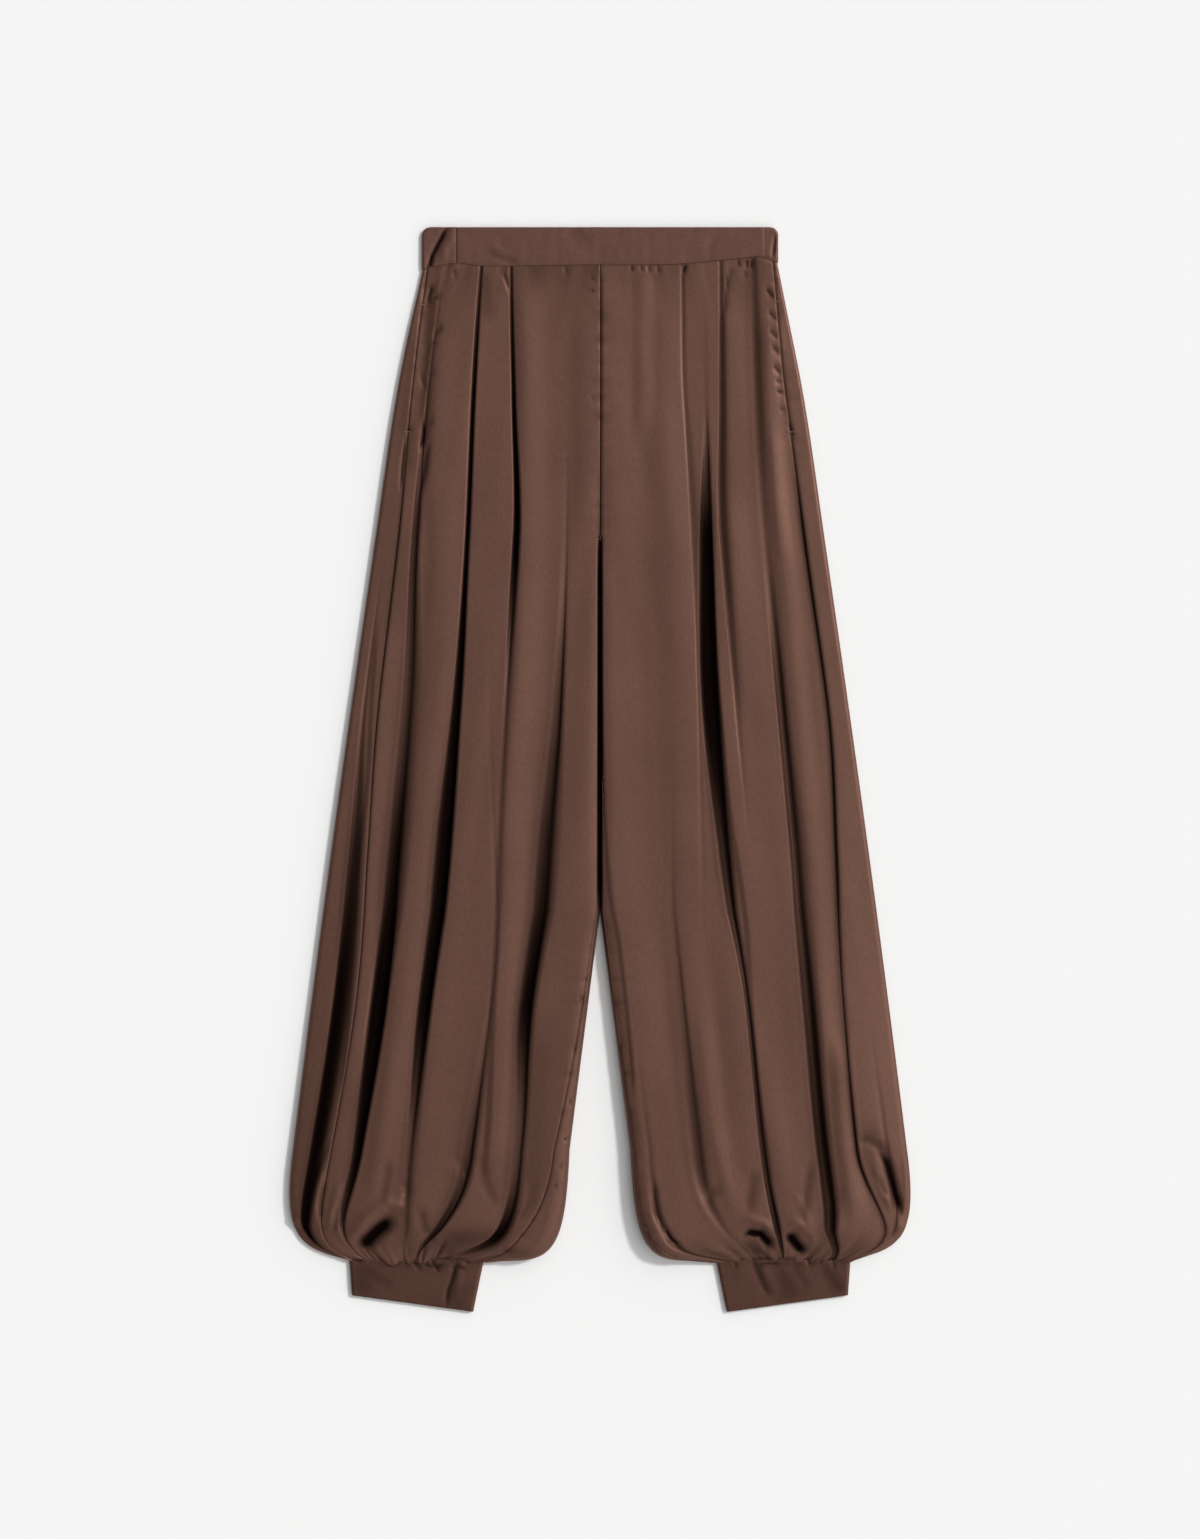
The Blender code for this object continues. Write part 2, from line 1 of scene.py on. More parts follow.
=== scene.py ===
# %% [markdown]
# # Satin balloon trousers, laid flat
# The real garment is a pair of light brown satin trousers, lying on its back with the front up. The pack
# gives its solids: two front panels, two back panels, a waistband in two parts and two cuffs. This lesson
# gives each of them its cloth. Every piece below is a thin shell on the form of its solid, worked out from
# the same sizes, and then made finer: knife pleats that really fold over, seams that pucker and gathers
# above the cuffs.

import math
from collections import namedtuple

import bpy
import numpy as np
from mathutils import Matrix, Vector


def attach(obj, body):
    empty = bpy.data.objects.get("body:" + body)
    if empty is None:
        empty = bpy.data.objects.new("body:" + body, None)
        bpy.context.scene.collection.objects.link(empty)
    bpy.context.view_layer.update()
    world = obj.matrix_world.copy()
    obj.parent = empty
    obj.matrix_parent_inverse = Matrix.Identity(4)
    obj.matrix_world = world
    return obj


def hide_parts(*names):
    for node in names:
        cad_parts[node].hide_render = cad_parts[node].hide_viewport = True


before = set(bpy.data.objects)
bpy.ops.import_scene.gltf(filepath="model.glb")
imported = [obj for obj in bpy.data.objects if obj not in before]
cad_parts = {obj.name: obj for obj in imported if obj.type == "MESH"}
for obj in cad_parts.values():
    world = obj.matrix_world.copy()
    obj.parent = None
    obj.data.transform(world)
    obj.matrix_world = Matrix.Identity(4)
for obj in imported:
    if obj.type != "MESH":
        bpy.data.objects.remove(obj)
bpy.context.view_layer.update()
MM = 0.001
print("solids:", ", ".join(sorted(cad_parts)))

# %% [markdown]
# The photograph looks straight down. A camera with a long lens, high above the floor, shows the garment
# without any spreading towards the edges. Its height follows from the lens and from how much floor the
# picture takes in.

# %% Camera
PICTURE_HEIGHT = 1.5005
LENS = 85.0
SENSOR = 36.0
CLOTH_TOP = 0.008
camera_height = PICTURE_HEIGHT * LENS / SENSOR + CLOTH_TOP
camera_data = bpy.data.cameras.new("overhead camera")
camera_data.lens = LENS
camera_data.sensor_width = SENSOR
camera = bpy.data.objects.new("overhead camera", camera_data)
camera.location = (0.0, 0.0, camera_height)
bpy.context.scene.collection.objects.link(camera)
bpy.context.scene.camera = camera
print(f"camera {camera_height:.2f} m above the floor")

# %% [markdown]
# A sweep of white paper lies a hair under the garment. The light is a large lamp to the right, a little
# above the waist's side, so that each fold throws a short soft shadow to the left. A sun lamp with a wide
# angle gives such light and stays even over the whole floor. The white room fills in the rest, a little
# brighter from the right.

# %% Floor and light
FLOOR_HALF = 6.0
FLOOR_LEVEL = -0.0003
FLOOR_WHITE = (0.87, 0.87, 0.865, 1.0)
KEY_STRENGTH = 1.85
KEY_ELEVATION = math.radians(43.0)
KEY_AZIMUTH = math.radians(28.0)
KEY_SPREAD = math.radians(8.0)
ROOM_DARK_SIDE = 0.2
ROOM_BRIGHT_SIDE = 1.2
ROOM_TURNS_FROM = -0.45
ROOM_TURNS_TO = 0.6

floor_mesh = bpy.data.meshes.new("floor")
corner_signs = ((-1, -1), (1, -1), (1, 1), (-1, 1))
floor_corners = [(x * FLOOR_HALF, y * FLOOR_HALF, FLOOR_LEVEL) for x, y in corner_signs]
floor_mesh.from_pydata(floor_corners, [], [(0, 1, 2, 3)])
floor = bpy.data.objects.new("floor", floor_mesh)
bpy.context.scene.collection.objects.link(floor)
paper = bpy.data.materials.new("white paper")
paper.use_nodes = True
paper_shader = paper.node_tree.nodes["Principled BSDF"]
paper_shader.inputs["Base Color"].default_value = FLOOR_WHITE
paper_shader.inputs["Roughness"].default_value = 1.0
paper_shader.inputs["Specular IOR Level"].default_value = 0.0
floor_mesh.materials.append(paper)

key_data = bpy.data.lights.new("key lamp", "SUN")
key_data.energy = KEY_STRENGTH
key_data.angle = KEY_SPREAD
key = bpy.data.objects.new("key lamp", key_data)
towards_key = Vector((
    math.cos(KEY_ELEVATION) * math.cos(KEY_AZIMUTH),
    math.cos(KEY_ELEVATION) * math.sin(KEY_AZIMUTH),
    math.sin(KEY_ELEVATION),
))
key.rotation_euler = towards_key.to_track_quat("Z", "Y").to_euler()
bpy.context.scene.collection.objects.link(key)


def add_node(tree, kind, inputs=None, **settings):
    """Adds a node to a tree, sets its properties, and fills or links its inputs."""
    node = tree.nodes.new(kind)
    for name, value in settings.items():
        setattr(node, name, value)
    for name, value in (inputs or {}).items():
        if isinstance(value, bpy.types.NodeSocket):
            tree.links.new(value, node.inputs[name])
        else:
            node.inputs[name].default_value = value
    return node


room = bpy.data.worlds.new("white room")
room.use_nodes = True
bpy.context.scene.world = room
sky = room.node_tree
direction = add_node(sky, "ShaderNodeTexCoord").outputs["Generated"]
sideways = add_node(sky, "ShaderNodeSeparateXYZ", {"Vector": direction}).outputs["X"]
brightness = add_node(
    sky, "ShaderNodeMapRange",
    {
        "Value": sideways, "From Min": ROOM_TURNS_FROM, "From Max": ROOM_TURNS_TO,
        "To Min": ROOM_DARK_SIDE, "To Max": ROOM_BRIGHT_SIDE,
    }, interpolation_type="SMOOTHSTEP",
).outputs["Result"]
sky.links.new(brightness, sky.nodes["Background"].inputs["Strength"])
sky.nodes["Background"].inputs["Color"].default_value = (1.0, 1.0, 1.0, 1.0)
bpy.context.scene.view_settings.view_transform = "Standard"
print("key lamp at", round(math.degrees(KEY_ELEVATION)), "degrees above the floor")

# %% [markdown]
# ## The cut
# A pattern cutter draws a leg at named levels, from waist to cuff. The same table serves here. "Run" is the
# way down the leg from the top of the waistband, in millimetres, and "across" goes inwards from the leg's
# outer edge. A smooth curve through the table gives the size at any level between. What is left to chance
# comes from "hills": a table of random numbers with a fixed seed, read smoothly in between.

# %% Sizes and levels of a leg
LENGTH = 1058.8
BAND_DEPTH = 36.6
BAND_HALF_WIDTH = 174.0
BAND_CORNER = 8.0
BAND_STACK = 4.7
FRONT_BAND_FROM = -140.4
FRONT_BAND_TO = 160.9
CROTCH_RUN = 290.0
CROTCH_BLEND = 24.0
LEGS_PART_RUN = 668.0
LEGS_PART_SLOPE = 0.127
HEM_RUN = 900.0
CUFF_RUN = 1010.0
WAIST_SEAM_FADE = 70.0
CENTRE_HALF_GAP = 0.03
SEAM_GAP = 0.1

Level = namedtuple("Level", "name run outer_edge crown outer_roll inner_roll lowest")
LEVELS = (
    Level("waist", 36.9, 173.0, 4.7, 4.7, 4.7, 3.0),
    Level("hip", 169.0, 199.4, 8.0, 7.0, 6.5, 2.2),
    Level("fork", 305.0, 219.4, 10.0, 8.0, 8.0, 2.2),
    Level("thigh", 461.0, 241.8, 11.0, 8.0, 8.0, 2.2),
    Level("knee", 617.0, 263.3, 13.0, 8.5, 8.0, 2.4),
    Level("calf", 754.0, 281.3, 15.5, 9.0, 8.5, 2.4),
    Level("hem", 900.0, 299.6, 19.5, 11.0, 11.0, 2.8),
    Level("bulge", 960.0, 306.8, 23.5, 12.0, 12.0, 3.0),
    Level("cuff", 1010.0, 311.0, 5.6, 5.6, 5.6, 3.2),
)


HILL_TABLE = 128
OTHER_HILLS = {"right": 0.0, "left": 40.0}
ONE_ROW = 0.5


def smooth_step(t):
    t = np.clip(t, 0.0, 1.0)
    return t * t * (3.0 - 2.0 * t)


def curve_through(places, values, at):
    """A smooth curve through the values, read at any number of places."""
    places = np.asarray(places, float)
    values = np.asarray(values, float)
    steps = np.diff(values) / np.diff(places)
    before, after = steps[:-1], steps[1:]
    same_way = before * after > 0.0
    bend = np.where(same_way, 2.0 * before * after / np.where(same_way, before + after, 1.0), 0.0)
    slopes = np.concatenate(([steps[0]], bend, [steps[-1]]))
    at = np.clip(at, places[0], places[-1])
    i = np.clip(np.searchsorted(places, at, side="right") - 1, 0, len(steps) - 1)
    gap = places[i + 1] - places[i]
    t = (at - places[i]) / gap
    ends = values[i] * (1.0 + 2.0 * t) * (1.0 - t) ** 2 + values[i + 1] * (3.0 - 2.0 * t) * t * t
    turns = slopes[i] * gap * t * (1.0 - t) ** 2 + slopes[i + 1] * gap * t * t * (t - 1.0)
    return ends + turns


def hills(u, v, seed):
    """Smooth random hills, about one unit apart, from -1 to 1."""
    heights = np.random.default_rng(seed).uniform(-1.0, 1.0, (HILL_TABLE, HILL_TABLE))
    u, v = np.broadcast_arrays(u, v)
    column, row = np.floor(u).astype(int), np.floor(v).astype(int)
    across_share, down_share = smooth_step(u - column), smooth_step(v - row)

    def along(row):
        before = heights[row % HILL_TABLE, column % HILL_TABLE]
        after = heights[row % HILL_TABLE, (column + 1) % HILL_TABLE]
        return before * (1 - across_share) + after * across_share

    return along(row) * (1 - down_share) + along(row + 1) * down_share


Hills = namedtuple("Hills", "height across down seed")


def rough(kind, across, run, offset=0.0, seed=0):
    """Hills of one kind: so high, so many millimetres long across and down, with a seed of their own."""
    return kind.height * hills(across / kind.across + offset, run / kind.down, kind.seed + seed)


LEVEL_RUNS = [level.run for level in LEVELS]


def at_level(values, run):
    return curve_through(LEVEL_RUNS, values, run)


def level_value(column, run):
    return at_level([getattr(level, column) for level in LEVELS], run)


def inner_edge(run):
    """How far the inner edge of a leg is from the centre line."""
    parting = np.maximum(0.0, run - LEGS_PART_RUN) * LEGS_PART_SLOPE
    return CENTRE_HALF_GAP + parting


def leg_width(run):
    """The width across a leg. Through the balloon it stays that of the hem line."""
    run = np.minimum(run, HEM_RUN)
    return level_value("outer_edge", run) - inner_edge(run)


def opened(run):
    """0 above the crotch, where the legs are joined, and 1 below it."""
    return smooth_step((run - CROTCH_RUN) / CROTCH_BLEND)


print("leg width in mm:", {level.name: round(float(leg_width(level.run))) for level in LEVELS[:7]})

# %% [markdown]
# Below the hem line the leg fills out into a balloon and is gathered into a cuff that points outwards. Each
# line down the cloth then bends: it leaves the hem line on one heading and reaches the cuff on another. A
# Bezier curve has just these handles, so the outer edge, the middle and the inner edge each get one, and
# the lines between take a mixture. Right above the cuff the gathered cloth hangs a little over the seam.

# %% Where a point of the cloth lies in plan
WaistSeam = namedtuple("WaistSeam", "x run")
WAIST_SEAM = (
    WaistSeam(-174.0, 40.9),
    WaistSeam(-141.0, 35.0),
    WaistSeam(-112.0, 37.8),
    WaistSeam(0.0, 36.6),
    WaistSeam(60.0, 36.4),
    WaistSeam(130.0, 31.0),
    WaistSeam(152.0, 29.0),
    WaistSeam(174.0, 34.5),
)
Bend = namedtuple("Bend", "start leave arrive end")
BALLOON_OUTER = Bend((299.6, 900.0), (12.4, 90.0), (-46.0, 10.5), (244.6, 1008.4))
BALLOON_MIDDLE = Bend(None, (7.0, 45.0), (0.0, 44.0), None)
BALLOON_INNER = Bend((29.5, 900.0), (4.5, 105.3), (67.3, -5.8), (113.1, 1007.2))
BEND_SHARPNESS = 2.5
BALLOON_SQUEEZE = 1.05
EDGE_FADE = 0.4
OVERHANG = 4.5
OVERHANG_FROM = 990.0
OVERHANG_BLEND = 20.0
OVERHANG_LOBES = (Hills(1.0, 21.0, 1.0, 18), Hills(0.6, 9.0, 1.0, 19))
SIGN = {"right": -1.0, "left": 1.0}


def waist_seam_run(x, on_top):
    """The waist seam: wavy on top as the cloth lies, and straight from end to end underneath."""
    first, last = WAIST_SEAM[0], WAIST_SEAM[-1]
    under = first.run + (last.run - first.run) * (x - first.x) / (last.x - first.x)
    above = curve_through([row.x for row in WAIST_SEAM], [row.run for row in WAIST_SEAM], x)
    return under + (above - under) * on_top


def bend_point(share, t):
    """Plan place of a point of the balloon: share across from the outer edge, t down to the cuff."""
    share = np.clip(share, 0.0, 1.0)
    outer_part = (1.0 - share) ** BEND_SHARPNESS
    inner_part = share**BEND_SHARPNESS
    middle_part = 1.0 - outer_part - inner_part
    place = []
    for axis in (0, 1):
        start = BALLOON_OUTER.start[axis] + (BALLOON_INNER.start[axis] - BALLOON_OUTER.start[axis]) * share
        end = BALLOON_OUTER.end[axis] + (BALLOON_INNER.end[axis] - BALLOON_OUTER.end[axis]) * share
        leave = outer_part * BALLOON_OUTER.leave[axis] + middle_part * BALLOON_MIDDLE.leave[axis]
        leave = leave + inner_part * BALLOON_INNER.leave[axis]
        arrive = outer_part * BALLOON_OUTER.arrive[axis] + middle_part * BALLOON_MIDDLE.arrive[axis]
        arrive = arrive + inner_part * BALLOON_INNER.arrive[axis]
        first, second = start + leave, end - arrive
        place.append(
            start * (1.0 - t) ** 3 + 3.0 * first * t * (1.0 - t) ** 2
            + 3.0 * second * t * t * (1.0 - t) + end * t**3
        )
    return place


def overhang(side, across):
    """How far the gathered cloth hangs over the cuff seam: more here and less there."""
    lobes = sum(rough(kind, across, ONE_ROW, OTHER_HILLS[side]) for kind in OVERHANG_LOBES)
    return OVERHANG * np.clip(0.4 + 0.8 * lobes, 0.0, 1.3)


def in_plan(side, across, run, on_top=1.0):
    """How far out from the centre line and how far down a point of the cloth lies, in millimetres."""
    out = level_value("outer_edge", run) - across
    fade = 1.0 - smooth_step((run - LEVELS[0].run) / WAIST_SEAM_FADE)
    down = run + (waist_seam_run(SIGN[side] * out, on_top) - LEVELS[0].run) * fade
    share = across / leg_width(HEM_RUN)
    t = np.maximum(run - HEM_RUN, 0.0) / (CUFF_RUN - HEM_RUN)
    balloon_out, balloon_down = bend_point(share, t)
    past_edge = across - np.clip(across, 0.0, leg_width(HEM_RUN))
    balloon_out = balloon_out - past_edge * (1.0 - smooth_step(t / EDGE_FADE))
    in_balloon = run > HEM_RUN
    hanging = on_top * smooth_step((run - OVERHANG_FROM) / OVERHANG_BLEND)
    balloon_down = balloon_down + overhang(side, across) * hanging
    return np.where(in_balloon, balloon_out, out), np.where(in_balloon, balloon_down, down)


seam_middle = [round(float(value)) for value in bend_point(0.5, 1.0)]
print("middle of the cuff seam lies", seam_middle, "mm out and down")

# %% [markdown]
# ## Folds
# The front of a leg is pleated at the waist, and more folds form below the knee because the cuff takes the
# cloth in. A fold is listed by rows of numbers, one for each level: its place, in per cent of the leg's
# width, its depth, the width of its open hollow, how wide the cloth rises out of it on the outer and on the
# inner side, and how much shade is painted into it, from 0 to 1, as little light gets in. The "lip" is the
# side whose cloth ends in a clean edge over the hollow, and "crisp" says how far it hangs over: 1 is a
# pressed pleat, and 0 is a plain soft trough.

# %% Fold tables
At = namedtuple("At", "waist hip fork thigh knee calf hem bulge cuff")
Fold = namedtuple("Fold", "name lip crisp place depth core outer inner dark")

SIDE_SEAM = {
    "right": At(2.5, 7.6, 10.2, 10.9, 13.8, 16.2, 14.0, 9.0, 4.5),
    "left": At(2.5, 8.8, 9.3, 8.7, 12.6, 16.6, 18.4, 6.0, 3.0),
}
# Painted shade in the groove of the side seam, from 0 to 1, at each level.
SIDE_SEAM_SHADE = {
    "right": At(0.3, 0.4, 0.8, 0.65, 0.4, 0.3, 0.1, 0.0, 0.0),
    "left": At(0.2, 0.3, 1.0, 0.95, 1.0, 0.65, 1.0, 0.6, 0.3),
}
INSEAM_IN = {
    "right": At(2.6, 2.6, 2.6, 2.6, 3.2, 5.3, 15.5, 32.0, 20.0),
    "left": At(2.6, 2.6, 2.6, 2.6, 2.8, 3.2, 4.5, 6.5, 7.0),
}
STRIP_FOLD = {
    "right": Fold(
        "outer fold", "outer", 0.4,
        place=At(1.0, 3.0, 4.5, 5.0, 8.2, 9.3, 7.9, 3.2, 2.5),
        depth=At(0.0, 0.0, 0.0, 1.0, 4.0, 5.0, 6.0, 5.0, 0.0),
        core=At(0.0, 0.0, 0.0, 0.0, 1.5, 5.0, 4.0, 4.0, 1.0),
        outer=At(3.0, 3.0, 3.0, 4.0, 10.0, 5.0, 8.0, 5.0, 4.0),
        inner=At(4.0, 4.0, 4.0, 6.0, 19.0, 23.0, 18.0, 9.0, 5.0),
        dark=At(0.0, 0.0, 0.0, 0.15, 0.85, 1.0, 1.0, 1.0, 0.5),
    ),
    "left": Fold(
        "outer fold", "inner", 0.2,
        place=At(1.0, 4.0, 4.5, 4.5, 7.0, 8.0, 7.5, 3.5, 2.5),
        depth=At(0.0, 0.0, 0.0, 0.0, 0.0, 0.0, 0.8, 2.0, 0.5),
        core=At(0.0, 0.0, 0.0, 0.0, 0.0, 0.0, 0.0, 0.0, 0.0),
        outer=At(6.0, 6.0, 6.0, 6.0, 6.0, 6.0, 6.0, 6.0, 6.0),
        inner=At(6.0, 6.0, 6.0, 6.0, 6.0, 8.0, 9.0, 6.0, 6.0),
        dark=At(0.0, 0.0, 0.0, 0.0, 0.0, 0.0, 0.1, 0.2, 0.2),
    ),
}
FRONT_FOLDS = {
    "right": (
        Fold(
            "pocket fold", "inner", 0.5,
            place=At(12.0, 15.4, 17.8, 22.6, 24.1, 24.9, 24.3, 17.5, 13.0),
            depth=At(0.0, 1.0, 3.0, 4.0, 6.5, 8.5, 8.0, 3.0, 0.0),
            core=At(0.0, 0.0, 3.0, 2.5, 3.0, 13.0, 4.0, 0.0, 0.0),
            outer=At(4.0, 4.0, 4.5, 12.0, 17.0, 5.0, 12.0, 11.0, 6.0),
            inner=At(4.0, 5.0, 6.0, 15.0, 16.0, 3.5, 3.5, 5.0, 5.0),
            dark=At(0.0, 0.2, 0.75, 0.68, 0.97, 1.0, 1.0, 0.5, 0.0),
        ),
        Fold(
            "first pleat", "inner", 0.6,
            place=At(33.0, 38.1, 41.2, 42.9, 42.6, 41.7, 42.5, 43.5, 40.0),
            depth=At(1.5, 4.0, 5.5, 6.5, 8.5, 9.0, 1.8, 1.0, 0.0),
            core=At(0.8, 2.4, 2.4, 5.5, 9.5, 9.0, 0.0, 0.0, 0.0),
            outer=At(2.0, 1.8, 2.5, 6.0, 14.0, 8.0, 12.0, 20.0, 14.0),
            inner=At(3.5, 2.5, 3.0, 3.0, 4.0, 4.0, 13.0, 14.0, 14.0),
            dark=At(0.75, 1.0, 1.0, 1.0, 1.0, 1.0, 0.6, 0.42, 0.0),
        ),
        Fold(
            "inner hem fold", "inner", 0.4,
            place=At(42.0, 49.0, 53.0, 55.5, 61.0, 64.8, 64.3, 58.7, 48.3),
            depth=At(0.0, 0.0, 0.0, 0.1, 0.3, 0.8, 4.5, 6.0, 0.5),
            core=At(0.0, 0.0, 0.0, 0.0, 0.0, 0.0, 1.0, 2.0, 0.0),
            outer=At(8.0, 8.0, 8.0, 8.0, 8.0, 9.0, 21.0, 15.0, 7.0),
            inner=At(8.0, 8.0, 8.0, 8.0, 8.0, 6.0, 9.0, 5.0, 4.0),
            dark=At(0.0, 0.0, 0.0, 0.0, 0.05, 0.2, 0.7, 0.78, 0.3),
        ),
        Fold(
            "second pleat", "inner", 0.6,
            place=At(49.9, 57.9, 63.0, 62.3, 62.5, 70.0, 73.0, 71.0, 60.0),
            depth=At(1.5, 4.5, 6.0, 0.7, 0.1, 0.0, 0.0, 0.0, 0.0),
            core=At(0.8, 2.0, 4.0, 0.0, 0.0, 0.0, 0.0, 0.0, 0.0),
            outer=At(2.5, 1.8, 3.5, 6.0, 8.0, 8.0, 8.0, 8.0, 8.0),
            inner=At(2.5, 3.0, 4.0, 8.0, 8.0, 8.0, 8.0, 8.0, 8.0),
            dark=At(0.75, 1.0, 1.0, 0.2, 0.08, 0.0, 0.0, 0.0, 0.0),
        ),
        Fold(
            "inner leg fold", "inner", 0.4,
            place=At(80.0, 84.0, 85.0, 83.8, 79.6, 78.2, 82.0, 80.5, 73.0),
            depth=At(0.0, 0.0, 0.4, 3.5, 5.5, 6.0, 3.0, 7.0, 0.3),
            core=At(0.0, 0.0, 0.0, 1.5, 3.5, 5.0, 1.0, 4.0, 2.0),
            outer=At(10.0, 10.0, 10.0, 16.0, 18.0, 16.0, 18.0, 4.0, 5.0),
            inner=At(5.0, 5.0, 5.0, 6.0, 17.0, 9.0, 8.0, 16.0, 24.0),
            dark=At(0.0, 0.0, 0.0, 0.7, 0.88, 1.0, 0.62, 1.0, 0.0),
        ),
    ),
    "left": (
        Fold(
            "pocket fold", "outer", 0.3,
            place=At(14.0, 22.9, 26.6, 27.1, 27.8, 28.9, 30.6, 28.3, 14.0),
            depth=At(0.5, 0.9, 0.6, 4.0, 4.6, 6.0, 8.0, 7.0, 1.5),
            core=At(0.5, 1.0, 0.0, 2.5, 2.0, 3.0, 4.0, 5.0, 3.0),
            outer=At(9.0, 12.0, 12.0, 8.0, 14.0, 12.0, 10.0, 8.0, 7.0),
            inner=At(12.0, 14.0, 12.0, 9.0, 9.0, 14.0, 12.0, 14.0, 9.0),
            dark=At(0.55, 0.55, 0.12, 0.65, 0.62, 0.78, 0.88, 0.8, 0.6),
        ),
        Fold(
            "second pleat edge", "inner", 0.6,
            place=At(32.5, 41.0, 46.1, 45.6, 44.0, 42.5, 41.5, 38.5, 28.0),
            depth=At(0.8, 1.8, 2.4, 0.8, 0.0, 0.0, 0.0, 0.0, 0.0),
            core=At(0.4, 0.8, 1.0, 0.0, 0.0, 0.0, 0.0, 0.0, 0.0),
            outer=At(6.0, 11.0, 14.0, 10.0, 8.0, 8.0, 8.0, 8.0, 8.0),
            inner=At(5.0, 4.0, 3.0, 5.0, 8.0, 8.0, 8.0, 8.0, 8.0),
            dark=At(0.4, 0.52, 0.5, 0.1, 0.0, 0.0, 0.0, 0.0, 0.0),
        ),
        Fold(
            "second pleat", "outer", 0.6,
            place=At(41.5, 48.2, 52.2, 55.2, 53.1, 50.9, 52.0, 51.0, 50.0),
            depth=At(0.0, 0.1, 6.0, 7.5, 6.0, 2.6, 3.6, 4.0, 0.5),
            core=At(0.0, 0.0, 8.0, 12.5, 3.0, 1.0, 1.5, 3.0, 2.0),
            outer=At(6.0, 6.0, 4.0, 6.0, 9.0, 4.5, 5.5, 6.0, 4.0),
            inner=At(4.0, 5.0, 9.0, 7.0, 15.0, 6.0, 7.0, 5.0, 4.0),
            dark=At(0.0, 0.2, 1.0, 1.0, 0.88, 0.65, 0.68, 0.8, 0.7),
        ),
        Fold(
            "first pleat", "inner", 0.4,
            place=At(53.9, 58.9, 59.1, 60.5, 62.3, 64.0, 64.0, 62.0, 61.0),
            depth=At(0.6, 0.7, 1.0, 0.5, 0.2, 0.0, 0.0, 0.0, 0.0),
            core=At(0.0, 0.0, 0.0, 0.0, 0.0, 0.0, 0.0, 0.0, 0.0),
            outer=At(6.0, 8.0, 18.0, 10.0, 8.0, 8.0, 8.0, 8.0, 8.0),
            inner=At(6.0, 5.0, 3.0, 5.0, 8.0, 8.0, 8.0, 8.0, 8.0),
            dark=At(0.4, 0.08, 0.28, 0.0, 0.0, 0.0, 0.0, 0.0, 0.0),
        ),
        Fold(
            "inner leg fold", "outer", 0.2,
            place=At(68.0, 71.0, 71.5, 72.0, 73.5, 74.5, 75.9, 72.0, 68.0),
            depth=At(0.0, 0.0, 0.0, 0.0, 0.2, 1.2, 2.4, 0.5, 0.0),
            core=At(0.0, 0.0, 0.0, 0.0, 0.0, 0.5, 2.5, 0.0, 0.0),
            outer=At(8.0, 8.0, 8.0, 8.0, 8.0, 6.0, 12.0, 10.0, 5.0),
            inner=At(8.0, 8.0, 8.0, 8.0, 10.0, 22.0, 19.0, 12.0, 6.0),
            dark=At(0.0, 0.0, 0.0, 0.0, 0.04, 0.34, 0.52, 0.08, 0.0),
        ),
        Fold(
            "inner hem fold", "inner", 0.2,
            place=At(88.0, 90.0, 91.0, 91.5, 92.0, 92.6, 93.3, 92.0, 90.0),
            depth=At(0.0, 0.0, 0.0, 0.0, 0.0, 0.0, 0.4, 2.0, 1.0),
            core=At(0.0, 0.0, 0.0, 0.0, 0.0, 0.0, 0.0, 1.0, 1.0),
            outer=At(6.0, 6.0, 6.0, 6.0, 6.0, 6.0, 9.0, 9.0, 5.0),
            inner=At(4.0, 4.0, 4.0, 4.0, 4.0, 5.0, 8.0, 9.0, 5.0),
            dark=At(0.0, 0.0, 0.0, 0.0, 0.0, 0.0, 0.2, 0.6, 0.4),
        ),
    ),
}
for side, folds in FRONT_FOLDS.items():
    print(f"{side} leg has {len(folds)} folds, the deepest {max(max(fold.depth) for fold in folds)} mm")

# %% [markdown]
# A fold's section has four parts: a lip with a clean edge, the open hollow, a soft side that rounds up out
# of it, and a wide shoulder on both sides, because cloth hardly ever turns from flat to steep at once. Each
# point near a fold gets two moves: down by the fold's depth, and, at the lip, sideways over the hollow. The
# hollow's bottom hardly sees the light, so a third number keeps how much shade is painted there.

# %% The form of one fold
LIP_BASE = 0.45
LIP_SHARE = 0.22
SOFT_LIP_SHARE = 0.35
SOFT_BASE = 1.0
SOFT_SHARE = 0.42
TUCK_PER_DEPTH = 0.3
NOSE = 0.55
LIP_FADE = 1.8
SHOULDER = 22.0
SHOULDER_SHARE = 0.06
LEAST_SHADE = 1.6


def fold_across(fold, run):
    return at_level(fold.place, run) / 100.0 * leg_width(run)


def fold_sizes(fold, run):
    """The fold's depth, half its hollow, the widths of its lip and its soft side, and the lip's overhang."""
    depth = np.maximum(at_level(fold.depth, run), 0.0)
    half = np.maximum(at_level(fold.core, run), 0.0) / 2.0
    lip_rise, soft_rise = (fold.outer, fold.inner) if fold.lip == "outer" else (fold.inner, fold.outer)
    lip = LIP_BASE + (LIP_SHARE + SOFT_LIP_SHARE * (1.0 - fold.crisp)) * at_level(lip_rise, run)
    soft = SOFT_BASE + SOFT_SHARE * at_level(soft_rise, run)
    return depth, half, lip, soft, fold.crisp * TUCK_PER_DEPTH * depth


